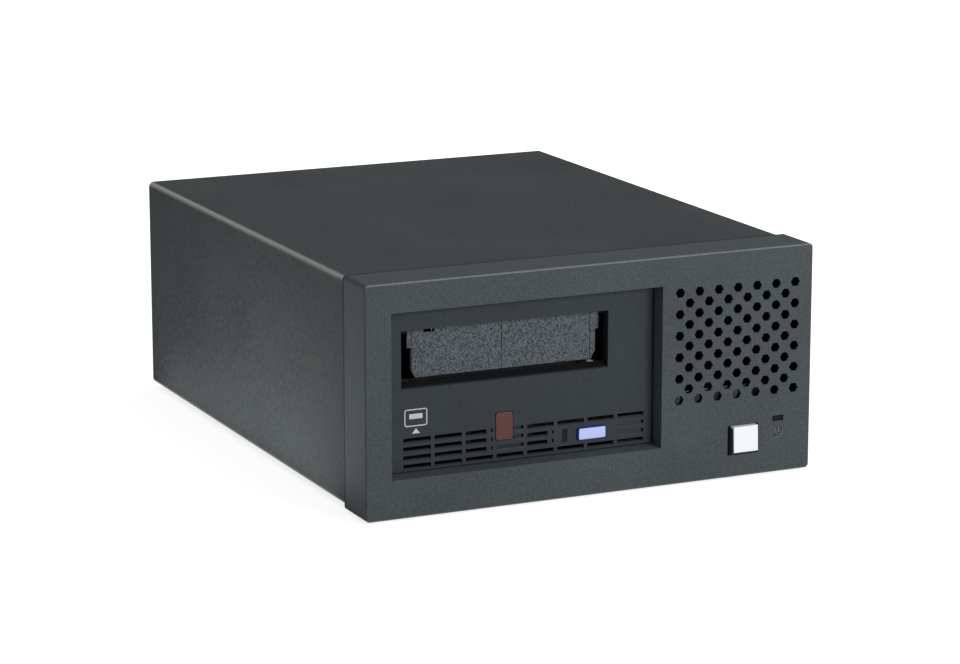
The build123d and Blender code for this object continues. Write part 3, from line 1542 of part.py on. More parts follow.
# Loader: a carriage of two side plates and a bridge that slides back, and a tray that drops inside it
tray_inner = cartridge_width / 2 + 1.2
tray_side_start = 42.5
tray_rear = tray_front + 0.8 + cartridge_length + 1.5
plate_gap = 4.0
carriage_plate_x = tray_inner + tray_sheet + plate_gap
carriage_front = 45.0
carriage_rear = 105.0
bridge_z = tray_top + cartridge_height + 4
pin_radius = 2.0
pin_z = tray_top + 4
pin_depths = (58.0, 92.0)
notch_x = drive_x + 37.0
notch_depth = 116.0

with BuildPart() as loader_carriage:
    for side in (-1, 1):
        with BuildSketch(along(slot_centre_x + side * carriage_plate_x)):
            with Locations((y_at(carriage_front), deck_z + sheet_gap)):
                Rectangle(
                    carriage_rear - carriage_front, bridge_z - deck_z - sheet_gap, align=(Align.MIN, Align.MIN)
                )
            with Locations(*[(y_at(depth), pin_z - drop_stroke / 2) for depth in pin_depths]):
                SlotOverall(drop_stroke + 2 * (pin_radius + 0.1), 2 * (pin_radius + 0.1), rotation=90, mode=Mode.SUBTRACT)
            with Locations((y_at((carriage_front + carriage_rear) / 2), deck_z + 9)):
                SlotOverall(36, 7, mode=Mode.SUBTRACT)
        extrude(amount=side * tray_sheet)
    with BuildSketch(Plane.XY.offset(bridge_z)):
        with Locations((slot_centre_x, y_at(carriage_front + 15))):
            Rectangle(2 * (carriage_plate_x + tray_sheet), 12, align=(Align.CENTER, Align.MIN))
    extrude(amount=-tray_sheet)
write(loader_carriage, "loader_carriage")

with BuildPart() as cartridge_tray:
    with BuildSketch(Plane.XY.offset(tray_top - tray_sheet)):
        with Locations((slot_centre_x, y_at(tray_front))):
            Rectangle(2 * (tray_inner + tray_sheet), tray_rear - tray_front, align=(Align.CENTER, Align.MIN))
        with Locations((slot_centre_x, y_at(hub_depth - load_stroke / 2))):
            SlotOverall(2 * hub_radius + 4 + load_stroke, 2 * hub_radius + 4, rotation=90, mode=Mode.SUBTRACT)
    extrude(amount=tray_sheet)
    for side in (-1, 1):
        with BuildSketch(along(slot_centre_x + side * tray_inner)):
            with Locations((y_at(tray_side_start), tray_top - tray_sheet)):
                Rectangle(tray_rear - tray_side_start, 12, align=(Align.MIN, Align.MIN))
        extrude(amount=side * tray_sheet)
        with BuildSketch(along(slot_centre_x + side * (tray_inner + tray_sheet))):
            with Locations(*[(y_at(depth), pin_z) for depth in pin_depths]):
                Circle(pin_radius)
        extrude(amount=side * (plate_gap + tray_sheet + 0.6))
    with BuildSketch(across(tray_rear - tray_sheet)):
        with Locations((slot_centre_x - 20, tray_top)):
            Rectangle(2 * tray_inner - 40, 12, align=(Align.CENTER, Align.MIN))
    extrude(amount=-tray_sheet)
    # corner left open where the tape comes out
    with BuildSketch(Plane.XY.offset(tray_top - tray_sheet)):
        with Locations((notch_x, y_at(notch_depth))):
            Rectangle(20, 20, align=(Align.MIN, Align.MIN))
    extrude(amount=20, mode=Mode.SUBTRACT)
write(cartridge_tray, "cartridge_tray")

# Loader motor on the deck beside the carriage
loader_x = drive_x + drive_width / 2 - drive_wall - 9.6
loader_radius = 8.0
loader_start = 60.0
loader_length = 26.0
cradle_width = 14.0
cradle_height = 6.0
cradle_inset = 2.0
gearbox_length = 12.0

with BuildPart() as loader_motor:
    with BuildSketch(across(loader_start)):
        with Locations((loader_x, deck_z + loader_radius + 1)):
            Circle(loader_radius)
    extrude(amount=-loader_length)
    with BuildSketch(across(loader_start + cradle_inset)):
        with Locations((loader_x, deck_z)):
            Rectangle(cradle_width, cradle_height, align=(Align.CENTER, Align.MIN))
    extrude(amount=-(loader_length - 2 * cradle_inset))
    with BuildSketch(across(loader_start + loader_length)):
        with Locations((loader_x, deck_z)):
            Rectangle(2 * loader_radius, 2 * loader_radius + 2, align=(Align.CENTER, Align.MIN))
    extrude(amount=-gearbox_length)
write(loader_motor, "loader_motor")
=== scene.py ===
import math

import bmesh
import bpy
from mathutils import Matrix, Vector


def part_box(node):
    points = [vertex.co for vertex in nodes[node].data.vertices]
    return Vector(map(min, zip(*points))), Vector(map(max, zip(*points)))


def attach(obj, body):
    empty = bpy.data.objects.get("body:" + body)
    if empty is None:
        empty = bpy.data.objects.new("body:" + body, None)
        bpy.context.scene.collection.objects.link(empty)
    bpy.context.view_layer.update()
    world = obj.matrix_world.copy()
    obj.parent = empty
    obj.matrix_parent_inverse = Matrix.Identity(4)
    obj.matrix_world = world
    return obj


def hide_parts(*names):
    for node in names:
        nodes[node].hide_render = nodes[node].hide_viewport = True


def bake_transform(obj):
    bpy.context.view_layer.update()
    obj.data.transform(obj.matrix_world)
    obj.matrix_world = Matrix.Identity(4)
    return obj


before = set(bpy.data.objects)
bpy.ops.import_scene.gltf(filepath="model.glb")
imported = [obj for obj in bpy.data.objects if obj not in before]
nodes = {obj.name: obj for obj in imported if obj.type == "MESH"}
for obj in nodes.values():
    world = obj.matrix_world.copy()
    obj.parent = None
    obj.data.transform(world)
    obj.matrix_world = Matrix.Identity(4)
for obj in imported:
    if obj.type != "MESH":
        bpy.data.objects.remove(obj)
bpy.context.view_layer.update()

# The camera: a long lens on the drive's left front corner, a little above its top, as in a catalogue picture.
# It is placed in millimetres from the middle of the case's foot, and looks down by about thirteen degrees.
metre = 1000.0
collection = bpy.context.scene.collection
camera_data = bpy.data.cameras.new("catalogue_camera")
camera_data.sensor_width = 36.0
camera_data.lens = 125.16
camera_data.clip_start = 0.01
camera = bpy.data.objects.new("catalogue_camera", camera_data)
collection.objects.link(camera)
bpy.context.scene.camera = camera
camera_place = Vector((-748.7, -1631.5, 466.3)) / metre
look = Vector((0.41049, 0.88399, -0.22372)).normalized()
right = look.cross(Vector((0, 0, 1))).normalized()
up = right.cross(look)
camera.matrix_world = Matrix.Translation(camera_place) @ Matrix((right, up, -look)).transposed().to_4x4()
bpy.context.scene.view_settings.view_transform = "Standard"


# The desk: a white sweep of paper that carries the case's soft shadow.
# It glows a little where it is seen or mirrored, and more further out, so that it ends in the white of the room.
def feed(tree, node, inputs):
    """Give each of a node's inputs a value, or another node's output."""
    for name, value in inputs.items():
        if isinstance(value, bpy.types.NodeSocket):
            tree.links.new(value, node.inputs[name])
        else:
            node.inputs[name].default_value = value


def add_node(tree, kind, inputs=None, **settings):
    """Put one node in a tree, with its settings and its inputs."""
    node = tree.nodes.new(kind)
    for name, value in settings.items():
        setattr(node, name, value)
    feed(tree, node, inputs or {})
    return node


def blank_tree(owner):
    """The emptied node tree of a material or of the world."""
    owner.use_nodes = True
    owner.node_tree.nodes.clear()
    return owner.node_tree


def colour(hex_value):
    """Linear colour of an sRGB hex value."""
    parts = [int(hex_value[i : i + 2], 16) / 255 for i in (1, 3, 5)]
    return tuple(p / 12.92 if p <= 0.04045 else ((p + 0.055) / 1.055) ** 2.4 for p in parts) + (1.0,)


def seen_or_mirrored(tree):
    """1 for a ray from the camera, off a mirror or through glass, and 0 for the light that falls on the object."""
    rays = add_node(tree, "ShaderNodeLightPath")
    seen = rays.outputs["Is Camera Ray"]
    for kind in ("Is Glossy Ray", "Is Transmission Ray"):
        seen = add_node(tree, "ShaderNodeMath", {0: seen, 1: rays.outputs[kind]}, operation="MAXIMUM").outputs[0]
    return seen


white = (1.0, 1.0, 1.0, 1.0)
paper = bpy.data.materials.new("white_paper_sweep")
tree = blank_tree(paper)
place = add_node(tree, "ShaderNodeTexCoord").outputs["Object"]
reach = add_node(tree, "ShaderNodeVectorMath", {0: place}, operation="LENGTH")
lift = add_node(
    tree, "ShaderNodeMapRange",
    {"Value": reach.outputs["Value"], "From Min": 0.2, "From Max": 0.6, "To Min": 0.78, "To Max": 1.0},
)
lit = add_node(tree, "ShaderNodeBsdfDiffuse", {"Color": colour("#e6e6e6")})
glow = add_node(tree, "ShaderNodeEmission", {"Color": white, "Strength": lift.outputs[0]})
both = add_node(tree, "ShaderNodeAddShader", {0: lit.outputs[0], 1: glow.outputs[0]})
shown = add_node(tree, "ShaderNodeMixShader", {0: seen_or_mirrored(tree), 1: lit.outputs[0], 2: both.outputs[0]})
add_node(tree, "ShaderNodeOutputMaterial", {"Surface": shown.outputs[0]})

half = 6
desk_mesh = bpy.data.meshes.new("desk")
desk_mesh.from_pydata([(-half, -half, 0), (half, -half, 0), (half, half, 0), (-half, half, 0)], [], [(0, 1, 2, 3)])
desk_mesh.materials.append(paper)
desk = bpy.data.objects.new("desk", desk_mesh)
collection.objects.link(desk)

# The studio: a white room, and soft lamps round the object. The large lamp at the right front lights the bezel, the
# one overhead the cover, and a strip behind runs a thin light along the cover's left bend. Two lit cards lie on the
# desk at the left, facing up, and lift the side from below, most at its front.
world = bpy.data.worlds.new("white_studio")
bpy.context.scene.world = world
tree = blank_tree(world)
strength = add_node(tree, "ShaderNodeMapRange", {"Value": seen_or_mirrored(tree), "To Min": 0.28, "To Max": 1.0})
air = add_node(tree, "ShaderNodeBackground", {"Color": white, "Strength": strength.outputs[0]})
add_node(tree, "ShaderNodeOutputWorld", {"Surface": air.outputs[0]})

# Each lamp: its name, its place in metres, its two sides in metres, its watts and the point it faces.
lamps = (
    ("front_lamp", (0.5, -1.3, 0.45), (0.6, 0.45), 11.6, (0.0, -0.1, 0.06)),
    ("overhead_lamp", (0.3, 0.1, 1.7), (1.4, 1.4), 3.0, (0.3, 0.1, 0.0)),
    ("rear_strip", (-0.71, 2.17, 1.19), (0.9, 0.4), 3.4, (-0.12, -0.12, 0.12)),
    ("long_card", (-0.164, 0.02, 0.002), (0.07, 0.27), 0.13, (-0.164, 0.02, 1.0)),
    ("front_card", (-0.27, -0.05, 0.002), (0.24, 0.14), 0.2, (-0.27, -0.05, 1.0)),
)
for lamp_name, place, sides, watts, target in lamps:
    lamp_data = bpy.data.lights.new(lamp_name, "AREA")
    lamp_data.shape = "RECTANGLE"
    lamp_data.size, lamp_data.size_y = sides
    lamp_data.energy = watts
    lamp = bpy.data.objects.new(lamp_name, lamp_data)
    collection.objects.link(lamp)
    lamp.location = place
    lamp.rotation_euler = (Vector(target) - Vector(place)).to_track_quat("-Z", "Y").to_euler()
    lamp.visible_camera = False


# The front bezel: one moulding in charcoal ABS, with the well round the drive and the hexagonal grille.
# Its tool was spark-eroded, which leaves an even matt grain that breaks up every reflection. Dust has settled in the
# The grille's holes and a band along the rear edge of the skin, where it turns in to the seam, carry painted shade: the
# colour runs near-black there.
def new_material(name):
    """A material with its tree, its surface shader and the object's own coordinates."""
    material = bpy.data.materials.new(name)
    tree = blank_tree(material)
    shader = add_node(tree, "ShaderNodeBsdfPrincipled")
    add_node(tree, "ShaderNodeOutputMaterial", {"Surface": shader.outputs[0]})
    return material, tree, shader, add_node(tree, "ShaderNodeTexCoord").outputs["Object"]


def two_tones(tree, value, dark, light, low=0.35, high=0.65):
    """Colour that runs from a dark to a light tone as a pattern's value rises."""
    tones = add_node(tree, "ShaderNodeValToRGB", {"Fac": value})
    tones.color_ramp.elements[0].position, tones.color_ramp.elements[0].color = low, colour(dark)
    tones.color_ramp.elements[1].position, tones.color_ramp.elements[1].color = high, colour(light)
    return tones.outputs[0]


def dress(tree, shader, base, roughness, height, depth, values, strength=1.0):
    """Feed the surface shader: a colour, a roughness, a relief with its depth in mm, and plain values."""
    relief = add_node(tree, "ShaderNodeBump", {"Height": height, "Strength": strength, "Distance": depth / metre})
    feed(tree, shader, {"Base Color": base, "Roughness": roughness, "Normal": relief.outputs[0], **values})


def moulded(name, dark, light, grain, depth, roughness, gloss=0.5, spread=0.06):
    """A moulded plastic: its two tones, the tool's grain and its depth in millimetres, and its gloss."""
    material, tree, shader, place = new_material(name)
    fine = add_node(tree, "ShaderNodeTexNoise", {"Vector": place, "Scale": metre / grain, "Detail": 3.0})
    drift = add_node(tree, "ShaderNodeTexNoise", {"Vector": place, "Scale": metre / 45.0, "Detail": 2.0})
    both = add_node(tree, "ShaderNodeMix", {"Factor": 0.25, "A": fine.outputs[0], "B": drift.outputs[0]})
    rough = add_node(
        tree, "ShaderNodeMapRange",
        {
            "Value": both.outputs[0], "From Min": 0.35, "From Max": 0.65,
            "To Min": roughness - spread, "To Max": roughness + spread,
        },
    )
    tones = two_tones(tree, both.outputs[0], dark, light)
    values = {"IOR": 1.53, "Specular IOR Level": gloss}
    dress(tree, shader, tones, rough.outputs[0], fine.outputs[0], depth, values)
    return material


def rubbed_bends(material, first, second, roughness, gloss):
    """Where a surface turns from one of two axes to the other, another roughness and a higher gloss."""
    tree = material.node_tree
    shader = tree.nodes["Principled BSDF"]
    way = add_node(tree, "ShaderNodeSeparateXYZ", {0: add_node(tree, "ShaderNodeTexCoord").outputs["Normal"]})
    turn = add_node(tree, "ShaderNodeMath", {0: way.outputs[first], 1: way.outputs[second]}, operation="MULTIPLY")
    size = add_node(tree, "ShaderNodeMath", {0: turn.outputs[0]}, operation="ABSOLUTE")
    bend = add_node(tree, "ShaderNodeMapRange", {"Value": size.outputs[0], "From Min": 0.08, "From Max": 0.4})
    for name, on_flats, on_bends in (
        ("Roughness", shader.inputs["Roughness"].links[0].from_socket, roughness),
        ("Specular IOR Level", shader.inputs["Specular IOR Level"].default_value, gloss),
    ):
        mixed = add_node(tree, "ShaderNodeMix", {"Factor": bend.outputs[0], "A": on_flats, "B": on_bends})
        tree.links.new(mixed.outputs[0], shader.inputs[name])


def paint_shade_inside(material, dark, low, high):
    """Paint shade into a plastic's colour inside a box of the frame, in mm, fading in over the first millimetre behind
    the box's front.
    """
    tree = material.node_tree
    shader = tree.nodes["Principled BSDF"]
    spot = add_node(tree, "ShaderNodeSeparateXYZ", {0: add_node(tree, "ShaderNodeNewGeometry").outputs["Position"]})
    shaded = add_node(
        tree, "ShaderNodeMapRange",
        {"Value": spot.outputs["Y"], "From Min": low[1] / metre, "From Max": (low[1] + 1) / metre},
    ).outputs[0]
    for axis, at in (("X", 0), ("Z", 2)):
        middle, reach = (low[at] + high[at]) / 2 / metre, (high[at] - low[at]) / 2 / metre
        off = add_node(tree, "ShaderNodeMath", {0: spot.outputs[axis], 1: middle}, operation="SUBTRACT")
        off = add_node(tree, "ShaderNodeMath", {0: off.outputs[0]}, operation="ABSOLUTE")
        inside = add_node(tree, "ShaderNodeMath", {0: off.outputs[0], 1: reach}, operation="LESS_THAN")
        shaded = add_node(tree, "ShaderNodeMath", {0: shaded, 1: inside.outputs[0]}, operation="MULTIPLY").outputs[0]
    plain = shader.inputs["Base Color"].links[0].from_socket
    laid = add_node(tree, "ShaderNodeMixRGB", {"Fac": shaded, "Color1": plain, "Color2": colour(dark)})
    tree.links.new(laid.outputs[0], shader.inputs["Base Color"])


def wear(material, *names):
    """Give each of these CAD pieces a finish."""
    for name in names:
        mesh = nodes[name].data
        mesh.materials.clear()
        mesh.materials.append(material)
        for face in mesh.polygons:
            face.material_index = 0


charcoal_abs = moulded("spark_eroded_charcoal_abs", "#3f4547", "#4f5659", 1.1, 0.03, 0.78, 0.1)
rubbed_bends(charcoal_abs, "Y", "Z", 0.35, 0.8)
# Painted shade: near-black in the grille's holes, and a painted shadow line along the skin's rear edge.
grille_shade_box = (40.0, -158.0, 36.0), (122.0, -120.0, 114.0)
seam_shadow_box = (-128.0, -132.3, -1.0), (128.0, -120.0, 124.0)
paint_shade_inside(charcoal_abs, "#050506", *grille_shade_box)
paint_shade_inside(charcoal_abs, "#0a0b0c", *seam_shadow_box)
wear(charcoal_abs, "front_bezel")


# The standby sign beside the lamp: an open ring with a bar, sunk into the bezel's face by the same tool.
# It is drawn as two thin strips on the face: painted shade for the groove, and a painted highlight for its lower right
# edge, set a little lower and to the right.
def new_piece(name, form, material):
    """The object of a finished form, in one material."""
    bmesh.ops.recalc_face_normals(form, faces=form.faces)
    mesh = bpy.data.meshes.new(name)
    form.to_mesh(mesh)
    form.free()
    mesh.materials.append(material)
    piece = bpy.data.objects.new(name, mesh)
    collection.objects.link(piece)
    return piece


def laid_strips(name, runs, fills, face_y, proud, material):
    """Thin flat strips on a face that looks forward: runs of points with a width, and filled outlines, in mm."""
    form = bmesh.new()

    def slab(outline):
        front = [form.verts.new((x / metre, (face_y - proud) / metre, z / metre)) for x, z in outline]
        back = [form.verts.new((x / metre, face_y / metre, z / metre)) for x, z in outline]
        form.faces.new(front)
        form.faces.new(back[::-1])
        for i in range(len(outline)):
            j = (i + 1) % len(outline)
            form.faces.new((front[i], back[i], back[j], front[j]))

    for points, width in runs:
        edges = []
        for i, (x, z) in enumerate(points):
            ahead, behind = points[min(i + 1, len(points) - 1)], points[max(i - 1, 0)]
            run = Vector((ahead[0] - behind[0], ahead[1] - behind[1])).normalized() * width / 2
            edges.append(((x - run.y, z + run.x), (x + run.y, z - run.x)))
        for (a, b), (c, d) in zip(edges, edges[1:]):
            slab([a, c, d, b])
    for outline in fills:
        slab(outline)
    piece = new_piece(name, form, material)
    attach(piece, "case")


def arc(centre, radius, start, end, steps=28):
    """Points on an arc, in degrees from the right, turning to the left."""
    turns = [math.radians(start + (end - start) * i / steps) for i in range(steps + 1)]
    return [(centre[0] + radius * math.cos(turn), centre[1] + radius * math.sin(turn)) for turn in turns]


bezel_face = -158.2
sign_x, sign_z, sign_radius = 107.75, 23.45, 2.55
groove_width = 0.6
# Painted shade for the groove, and a painted highlight for its edge.
groove_shade_paint = moulded("groove_painted_shade", "#23272a", "#2b3033", 0.9, 0.01, 0.75, 0.1)
edge_highlight_paint = moulded("groove_edge_painted_highlight", "#7d858a", "#8b9398", 0.9, 0.01, 0.5, 0.3)
for mark, material, shift, proud in (
    ("standby_edge_painted_highlight", edge_highlight_paint, 0.2, 0.02), ("standby_groove_painted_shade", groove_shade_paint, 0.0, 0.04),
):
    middle = (sign_x + shift, sign_z - shift)
    ring = arc(middle, sign_radius, 128, 412)
    bar = [middle, (middle[0], middle[1] + sign_radius + 0.3)]
    laid_strips(mark, [(ring, groove_width), (bar, groove_width)], [], bezel_face, proud, material)

# The top cover: sheet steel folded over the top and sides, then powder coated in charcoal.
# The powder flows out into a skin of small pebbles, matt but for a soft light along the bends.
# The real pebbles are about a third as wide, and are drawn this coarse so that they show.
cover_coat, tree, shader, place = new_material("charcoal_powder_coat")
pebbles = add_node(tree, "ShaderNodeTexVoronoi", {"Vector": place, "Scale": metre / 2.1}, feature="SMOOTH_F1")
dust = add_node(tree, "ShaderNodeTexNoise", {"Vector": place, "Scale": metre / 1.7, "Detail": 3.0})
drift = add_node(tree, "ShaderNodeTexNoise", {"Vector": place, "Scale": metre / 70.0, "Detail": 2.0})
skin = add_node(tree, "ShaderNodeMix", {"Factor": 0.5, "A": dust.outputs[0], "B": pebbles.outputs[0]})
shade = add_node(tree, "ShaderNodeMix", {"Factor": 0.2, "A": skin.outputs[0], "B": drift.outputs[0]})
rough = add_node(
    tree, "ShaderNodeMapRange",
    {"Value": skin.outputs[0], "From Min": 0.3, "From Max": 0.6, "To Min": 0.7, "To Max": 0.9},
)
tones = two_tones(tree, shade.outputs[0], "#1c2020", "#3f4545", 0.32, 0.56)
values = {"IOR": 1.5, "Specular IOR Level": 0.14}
dress(tree, shader, tones, rough.outputs[0], skin.outputs[0], 0.09, values)
rubbed_bends(cover_coat, "X", "Z", 0.42, 0.6)
wear(cover_coat, "top_cover")

# The seam between cover and bezel: a black strip with the cells of foam, laid on the bezel's tongue under the cover's
# front edge.
# It is painted shade: it stands in for the shadow in the seam, and draws the thin dark line round the case.
seam_shade_paint, tree, shader, place = new_material("painted_seam_shade_strip")
cells = add_node(tree, "ShaderNodeTexVoronoi", {"Vector": place, "Scale": metre / 0.5})
tones = two_tones(tree, cells.outputs[0], "#08090a", "#141617", 0.2, 0.7)
dress(tree, shader, tones, 0.95, cells.outputs[0], 0.05, {"Specular IOR Level": 0.1})

skin = [vertex.co * metre for vertex in nodes["top_cover"].data.vertices]
cover_side, cover_top = max(point.x for point in skin), max(point.z for point in skin)
cover_low, cover_front = min(point.z for point in skin), min(point.y for point in skin)
cover_bend = cover_side - max(point.x for point in skin if point.z > cover_top - 0.01)
seam_strip_thickness, seam_strip_width, seam_strip_over_cover = 0.5, 1.0, 0.7
seam_inset = 0.2
seam_x, seam_top, seam_bend = cover_side - seam_inset, cover_top - seam_inset, cover_bend - seam_inset
seam_strip_run = (
    [(seam_x, cover_low + 1.0)]
    + arc((seam_x - seam_bend, seam_top - seam_bend), seam_bend, 0, 90, 8)
    + arc((-seam_x + seam_bend, seam_top - seam_bend), seam_bend, 90, 180, 8)
    + [(-seam_x, cover_low + 1.0)]
)
laid_strips(
    "seam_shade_strip", [(seam_strip_run, seam_strip_thickness)], [], cover_front + seam_strip_over_cover, seam_strip_width, seam_shade_paint
)

# The power button: a dark grey key under a satin white face, and the smoked end of the light pipe above it.
# White ABS with a polished tool face is nearly smooth; the pipe's end is clear resin with dark dye.
key_abs = moulded("dark_grey_key_abs", "#33373b", "#3d4145", 0.6, 0.01, 0.5, 0.4)
white_abs = moulded("satin_white_abs", "#eef0f3", "#f8fafc", 0.6, 0.004, 0.38, 0.5, 0.04)
dark_resin = moulded("dark_dyed_resin", "#060607", "#0b0b0c", 2.5, 0.002, 0.3, 0.1, 0.03)
wear(key_abs, "power_button")
wear(white_abs, "power_button_face")
wear(dark_resin, "power_light_pipe")

# The drive's bezel: a second moulding, in a darker and bluer plastic with a finer grain, over the drive's front.
# Its slot funnel, vents and window frames come from the same tool as its face.
# Behind the face, the mouth and the vents carry painted shade in near-black, which hides what is inside.
drive_abs = moulded("fine_grained_drive_abs", "#2a2f33", "#353b3f", 0.9, 0.014, 0.66, 0.14)
mouth_shade_box = (-125.0, -149.4, 15.0), (15.0, -120.0, 105.0)
paint_shade_inside(drive_abs, "#070809", *mouth_shade_box)
wear(drive_abs, "drive_bezel")


# The loading sign at the left of the drive's bezel: a cartridge's outline with its label field and an arrow,
# pad printed in light grey ink that lies a few hundredths of a millimetre proud.
def rounded(left, right, low, high, bend):
    """Closed outline of a rectangle with round corners, in mm."""
    corners = (
        (right - bend, high - bend, 0), (left + bend, high - bend, 90),
        (left + bend, low + bend, 180), (right - bend, low + bend, 270),
    )
    outline = [point for x, z, start in corners for point in arc((x, z), bend, start, start + 90, 6)]
    return outline + outline[:1]


grey_ink = moulded("light_grey_pad_ink", "#b4b8ba", "#c3c7c9", 0.5, 0.003, 0.5, 0.4)
drive_face = -149.7
ink_line, ink_height = 0.55, 0.03
cartridge_outline = rounded(-102.0, -90.0, 46.6, 55.0, 1.0)
label_field = [(-99.6, 50.2), (-92.4, 50.2), (-92.4, 52.8), (-99.6, 52.8)]
arrow = [(-98.2, 42.6), (-93.8, 42.6), (-96.0, 45.3)]
laid_strips(
    "loading_sign", [(cartridge_outline, ink_line)], [label_field, arrow], drive_face, ink_height, grey_ink,
)

# The slot flap: a door on two pins that the cartridge pushes open, moulded in grey ABS with a coarse grain.
# The grain's peaks are polished by handling and its pits stay dull, which speckles it.
flap_abs, tree, shader, place = new_material("coarse_grained_flap_abs")
speckle = add_node(tree, "ShaderNodeTexNoise", {"Vector": place, "Scale": metre / 0.8, "Detail": 2.0, "Roughness": 0.7})
rough = add_node(
    tree, "ShaderNodeMapRange",
    {"Value": speckle.outputs[0], "From Min": 0.35, "From Max": 0.65, "To Min": 0.8, "To Max": 0.5},
)
tones = two_tones(tree, speckle.outputs[0], "#272c2f", "#5f676c", 0.36, 0.64)
values = {"IOR": 1.53, "Specular IOR Level": 0.2}
dress(tree, shader, tones, rough.outputs[0], speckle.outputs[0], 0.07, values)
wear(flap_abs, "slot_flap")


# The springs of the flap and of the power button: music wire, coiled cold and left bright.
# Drawing pulls faint lines along the wire, which soften its shine.
def bare_metal(name, dark, light, grain, roughness, stretch=(1, 1, 1)):
    """A bare metal: its two tones, its grain in millimetres, its roughness, and how far the grain is drawn out."""
    material, tree, shader, place = new_material(name)
    drawn = add_node(tree, "ShaderNodeMapping", {"Vector": place, "Scale": stretch})
    grit = add_node(tree, "ShaderNodeTexNoise", {"Vector": drawn.outputs[0], "Scale": metre / grain, "Detail": 3.0})
    spread, depth = 0.06, 0.004
    rough = add_node(
        tree, "ShaderNodeMapRange",
        {
            "Value": grit.outputs[0], "From Min": 0.35, "From Max": 0.65,
            "To Min": roughness - spread, "To Max": roughness + spread,
        },
    )
    tones = two_tones(tree, grit.outputs[0], dark, light)
    dress(tree, shader, tones, rough.outputs[0], grit.outputs[0], depth, {"Metallic": 1.0})
    return material


def wound_spring(name, middle, front, rear, radius, wire, turns, replaced):
    """A coil along Y with closed end turns, in mm, from its front to its rear."""
    steps, sides, closed, nudge = 28, 10, 2.15 * wire, 0.01
    start, end = front + wire, rear - wire
    pitch = (end - start - 2 * closed) / (turns - 2)

    def at(turn):
        if turn < 1:
            along = start + closed * turn
        elif turn > turns - 1:
            along = end - closed * (turns - turn)
        else:
            along = start + closed + pitch * (turn - 1)
        angle = 2 * math.pi * turn
        return Vector((middle[0] + radius * math.cos(angle), along, middle[1] + radius * math.sin(angle)))

    form = bmesh.new()
    rings = []
    for step in range(turns * steps + 1):
        turn = step / steps
        run = (at(min(turn + nudge, turns)) - at(max(turn - nudge, 0))).normalized()
        out = (at(turn) - Vector((middle[0], at(turn).y, middle[1]))).normalized()
        across = run.cross(out).normalized()
        rings.append(
            [
                form.verts.new((at(turn) + wire * (out * math.cos(a) + across * math.sin(a))) / metre)
                for a in (2 * math.pi * side / sides for side in range(sides))
            ]
        )
    for ring, after in zip(rings, rings[1:]):
        for side in range(sides):
            beside = (side + 1) % sides
            form.faces.new((ring[side], ring[beside], after[beside], after[side]))
    form.faces.new(rings[0][::-1])
    form.faces.new(rings[-1])
    piece = new_piece(name, form, music_wire)
    for face in piece.data.polygons:
        face.use_smooth = True
    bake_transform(piece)
    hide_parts(replaced)


# The button's spring is wound here with closed ends; the real one shortens as the button goes in.
music_wire = bare_metal("bright_music_wire", "#8c8e91", "#a6a8ab", 0.4, 0.3)
wear(music_wire, "power_button_spring", "slot_flap_spring")
wound_spring(
    "power_button_coil", (86.95, 21.35), -149.58, -137.32, 3.2, 0.4, 7, "power_button_spring"
)

# The window's seal: a line of black silicone in the joint round the display's window, wiped level with the face.
# It stays a little glossy, and outlines the red.
black_silicone = moulded("black_silicone_bead", "#08090a", "#0f1011", 1.0, 0.004, 0.45, 0.3)
pane_low, pane_high = (Vector(corner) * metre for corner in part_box("display_window"))
seal_out, seal_bend, seal_width, seal_height = 0.15, 0.75, 0.4, 0.03
seal = rounded(
    pane_low.x - seal_out, pane_high.x + seal_out, pane_low.z - seal_out, pane_high.z + seal_out, seal_bend
)
laid_strips("window_seal", [(seal, seal_width)], [], drive_face, seal_height, black_silicone)

# Inside the slot's lower right corner: a white nylon pad that guides the cartridge, and a bronze leaf beside it.
# Nylon is waxy and lets a little light into its skin; the leaf is rolled phosphor bronze.
white_nylon = moulded("waxy_white_nylon", "#e2e1dc", "#eeede8", 0.8, 0.004, 0.45, 0.45)
wear(white_nylon, "slot_pad")
rolled_bronze = bare_metal("rolled_phosphor_bronze", "#a5763c", "#c59656", 0.9, 0.3, (1, 0.2, 1))
wear(rolled_bronze, "slot_leaf")

# The unload key: a pale blue ABS cap, dyed right through, with a satin tool face.
# Its flanks carry painted shade: where the surface turns away from the front, the base colour runs to a deep blue.
blue_abs = moulded("pale_blue_key_abs", "#b4c3fb", "#bfcdfd", 0.6, 0.005, 0.4, 0.4, 0.04)
tree = blue_abs.node_tree
shader = tree.nodes["Principled BSDF"]
way = add_node(tree, "ShaderNodeSeparateXYZ", {0: add_node(tree, "ShaderNodeTexCoord").outputs["Normal"]})
ahead = add_node(tree, "ShaderNodeMath", {0: way.outputs["Y"]}, operation="ABSOLUTE")
flank_shade = add_node(
    tree, "ShaderNodeMapRange",
    {"Value": ahead.outputs[0], "From Min": 0.3, "From Max": 0.8, "To Min": 1.0, "To Max": 0.0},
)
on_face = shader.inputs["Base Color"].links[0].from_socket
# The deep blue on the flanks is painted shade.
flank_shaded = add_node(
    tree, "ShaderNodeMixRGB", {"Fac": flank_shade.outputs[0], "Color1": on_face, "Color2": colour("#3a4db4")}
)
tree.links.new(flank_shaded.outputs[0], shader.inputs["Base Color"])
wear(blue_abs, "unload_key")

# The display's window and the status lamp's: smoked acrylic, red over the one-character display.
# Polished on the outside, so it carries a thin clear reflection over a deep colour.
red_acrylic = moulded("smoked_red_acrylic", "#4d2222", "#582828", 2.0, 0.001, 0.25, 0.3, 0.04)
smoked_acrylic = moulded("smoked_acrylic", "#0c0d0e", "#121315", 4.0, 0.001, 0.3, 0.12, 0.03)
wear(red_acrylic, "display_window")
wear(smoked_acrylic, "status_window")

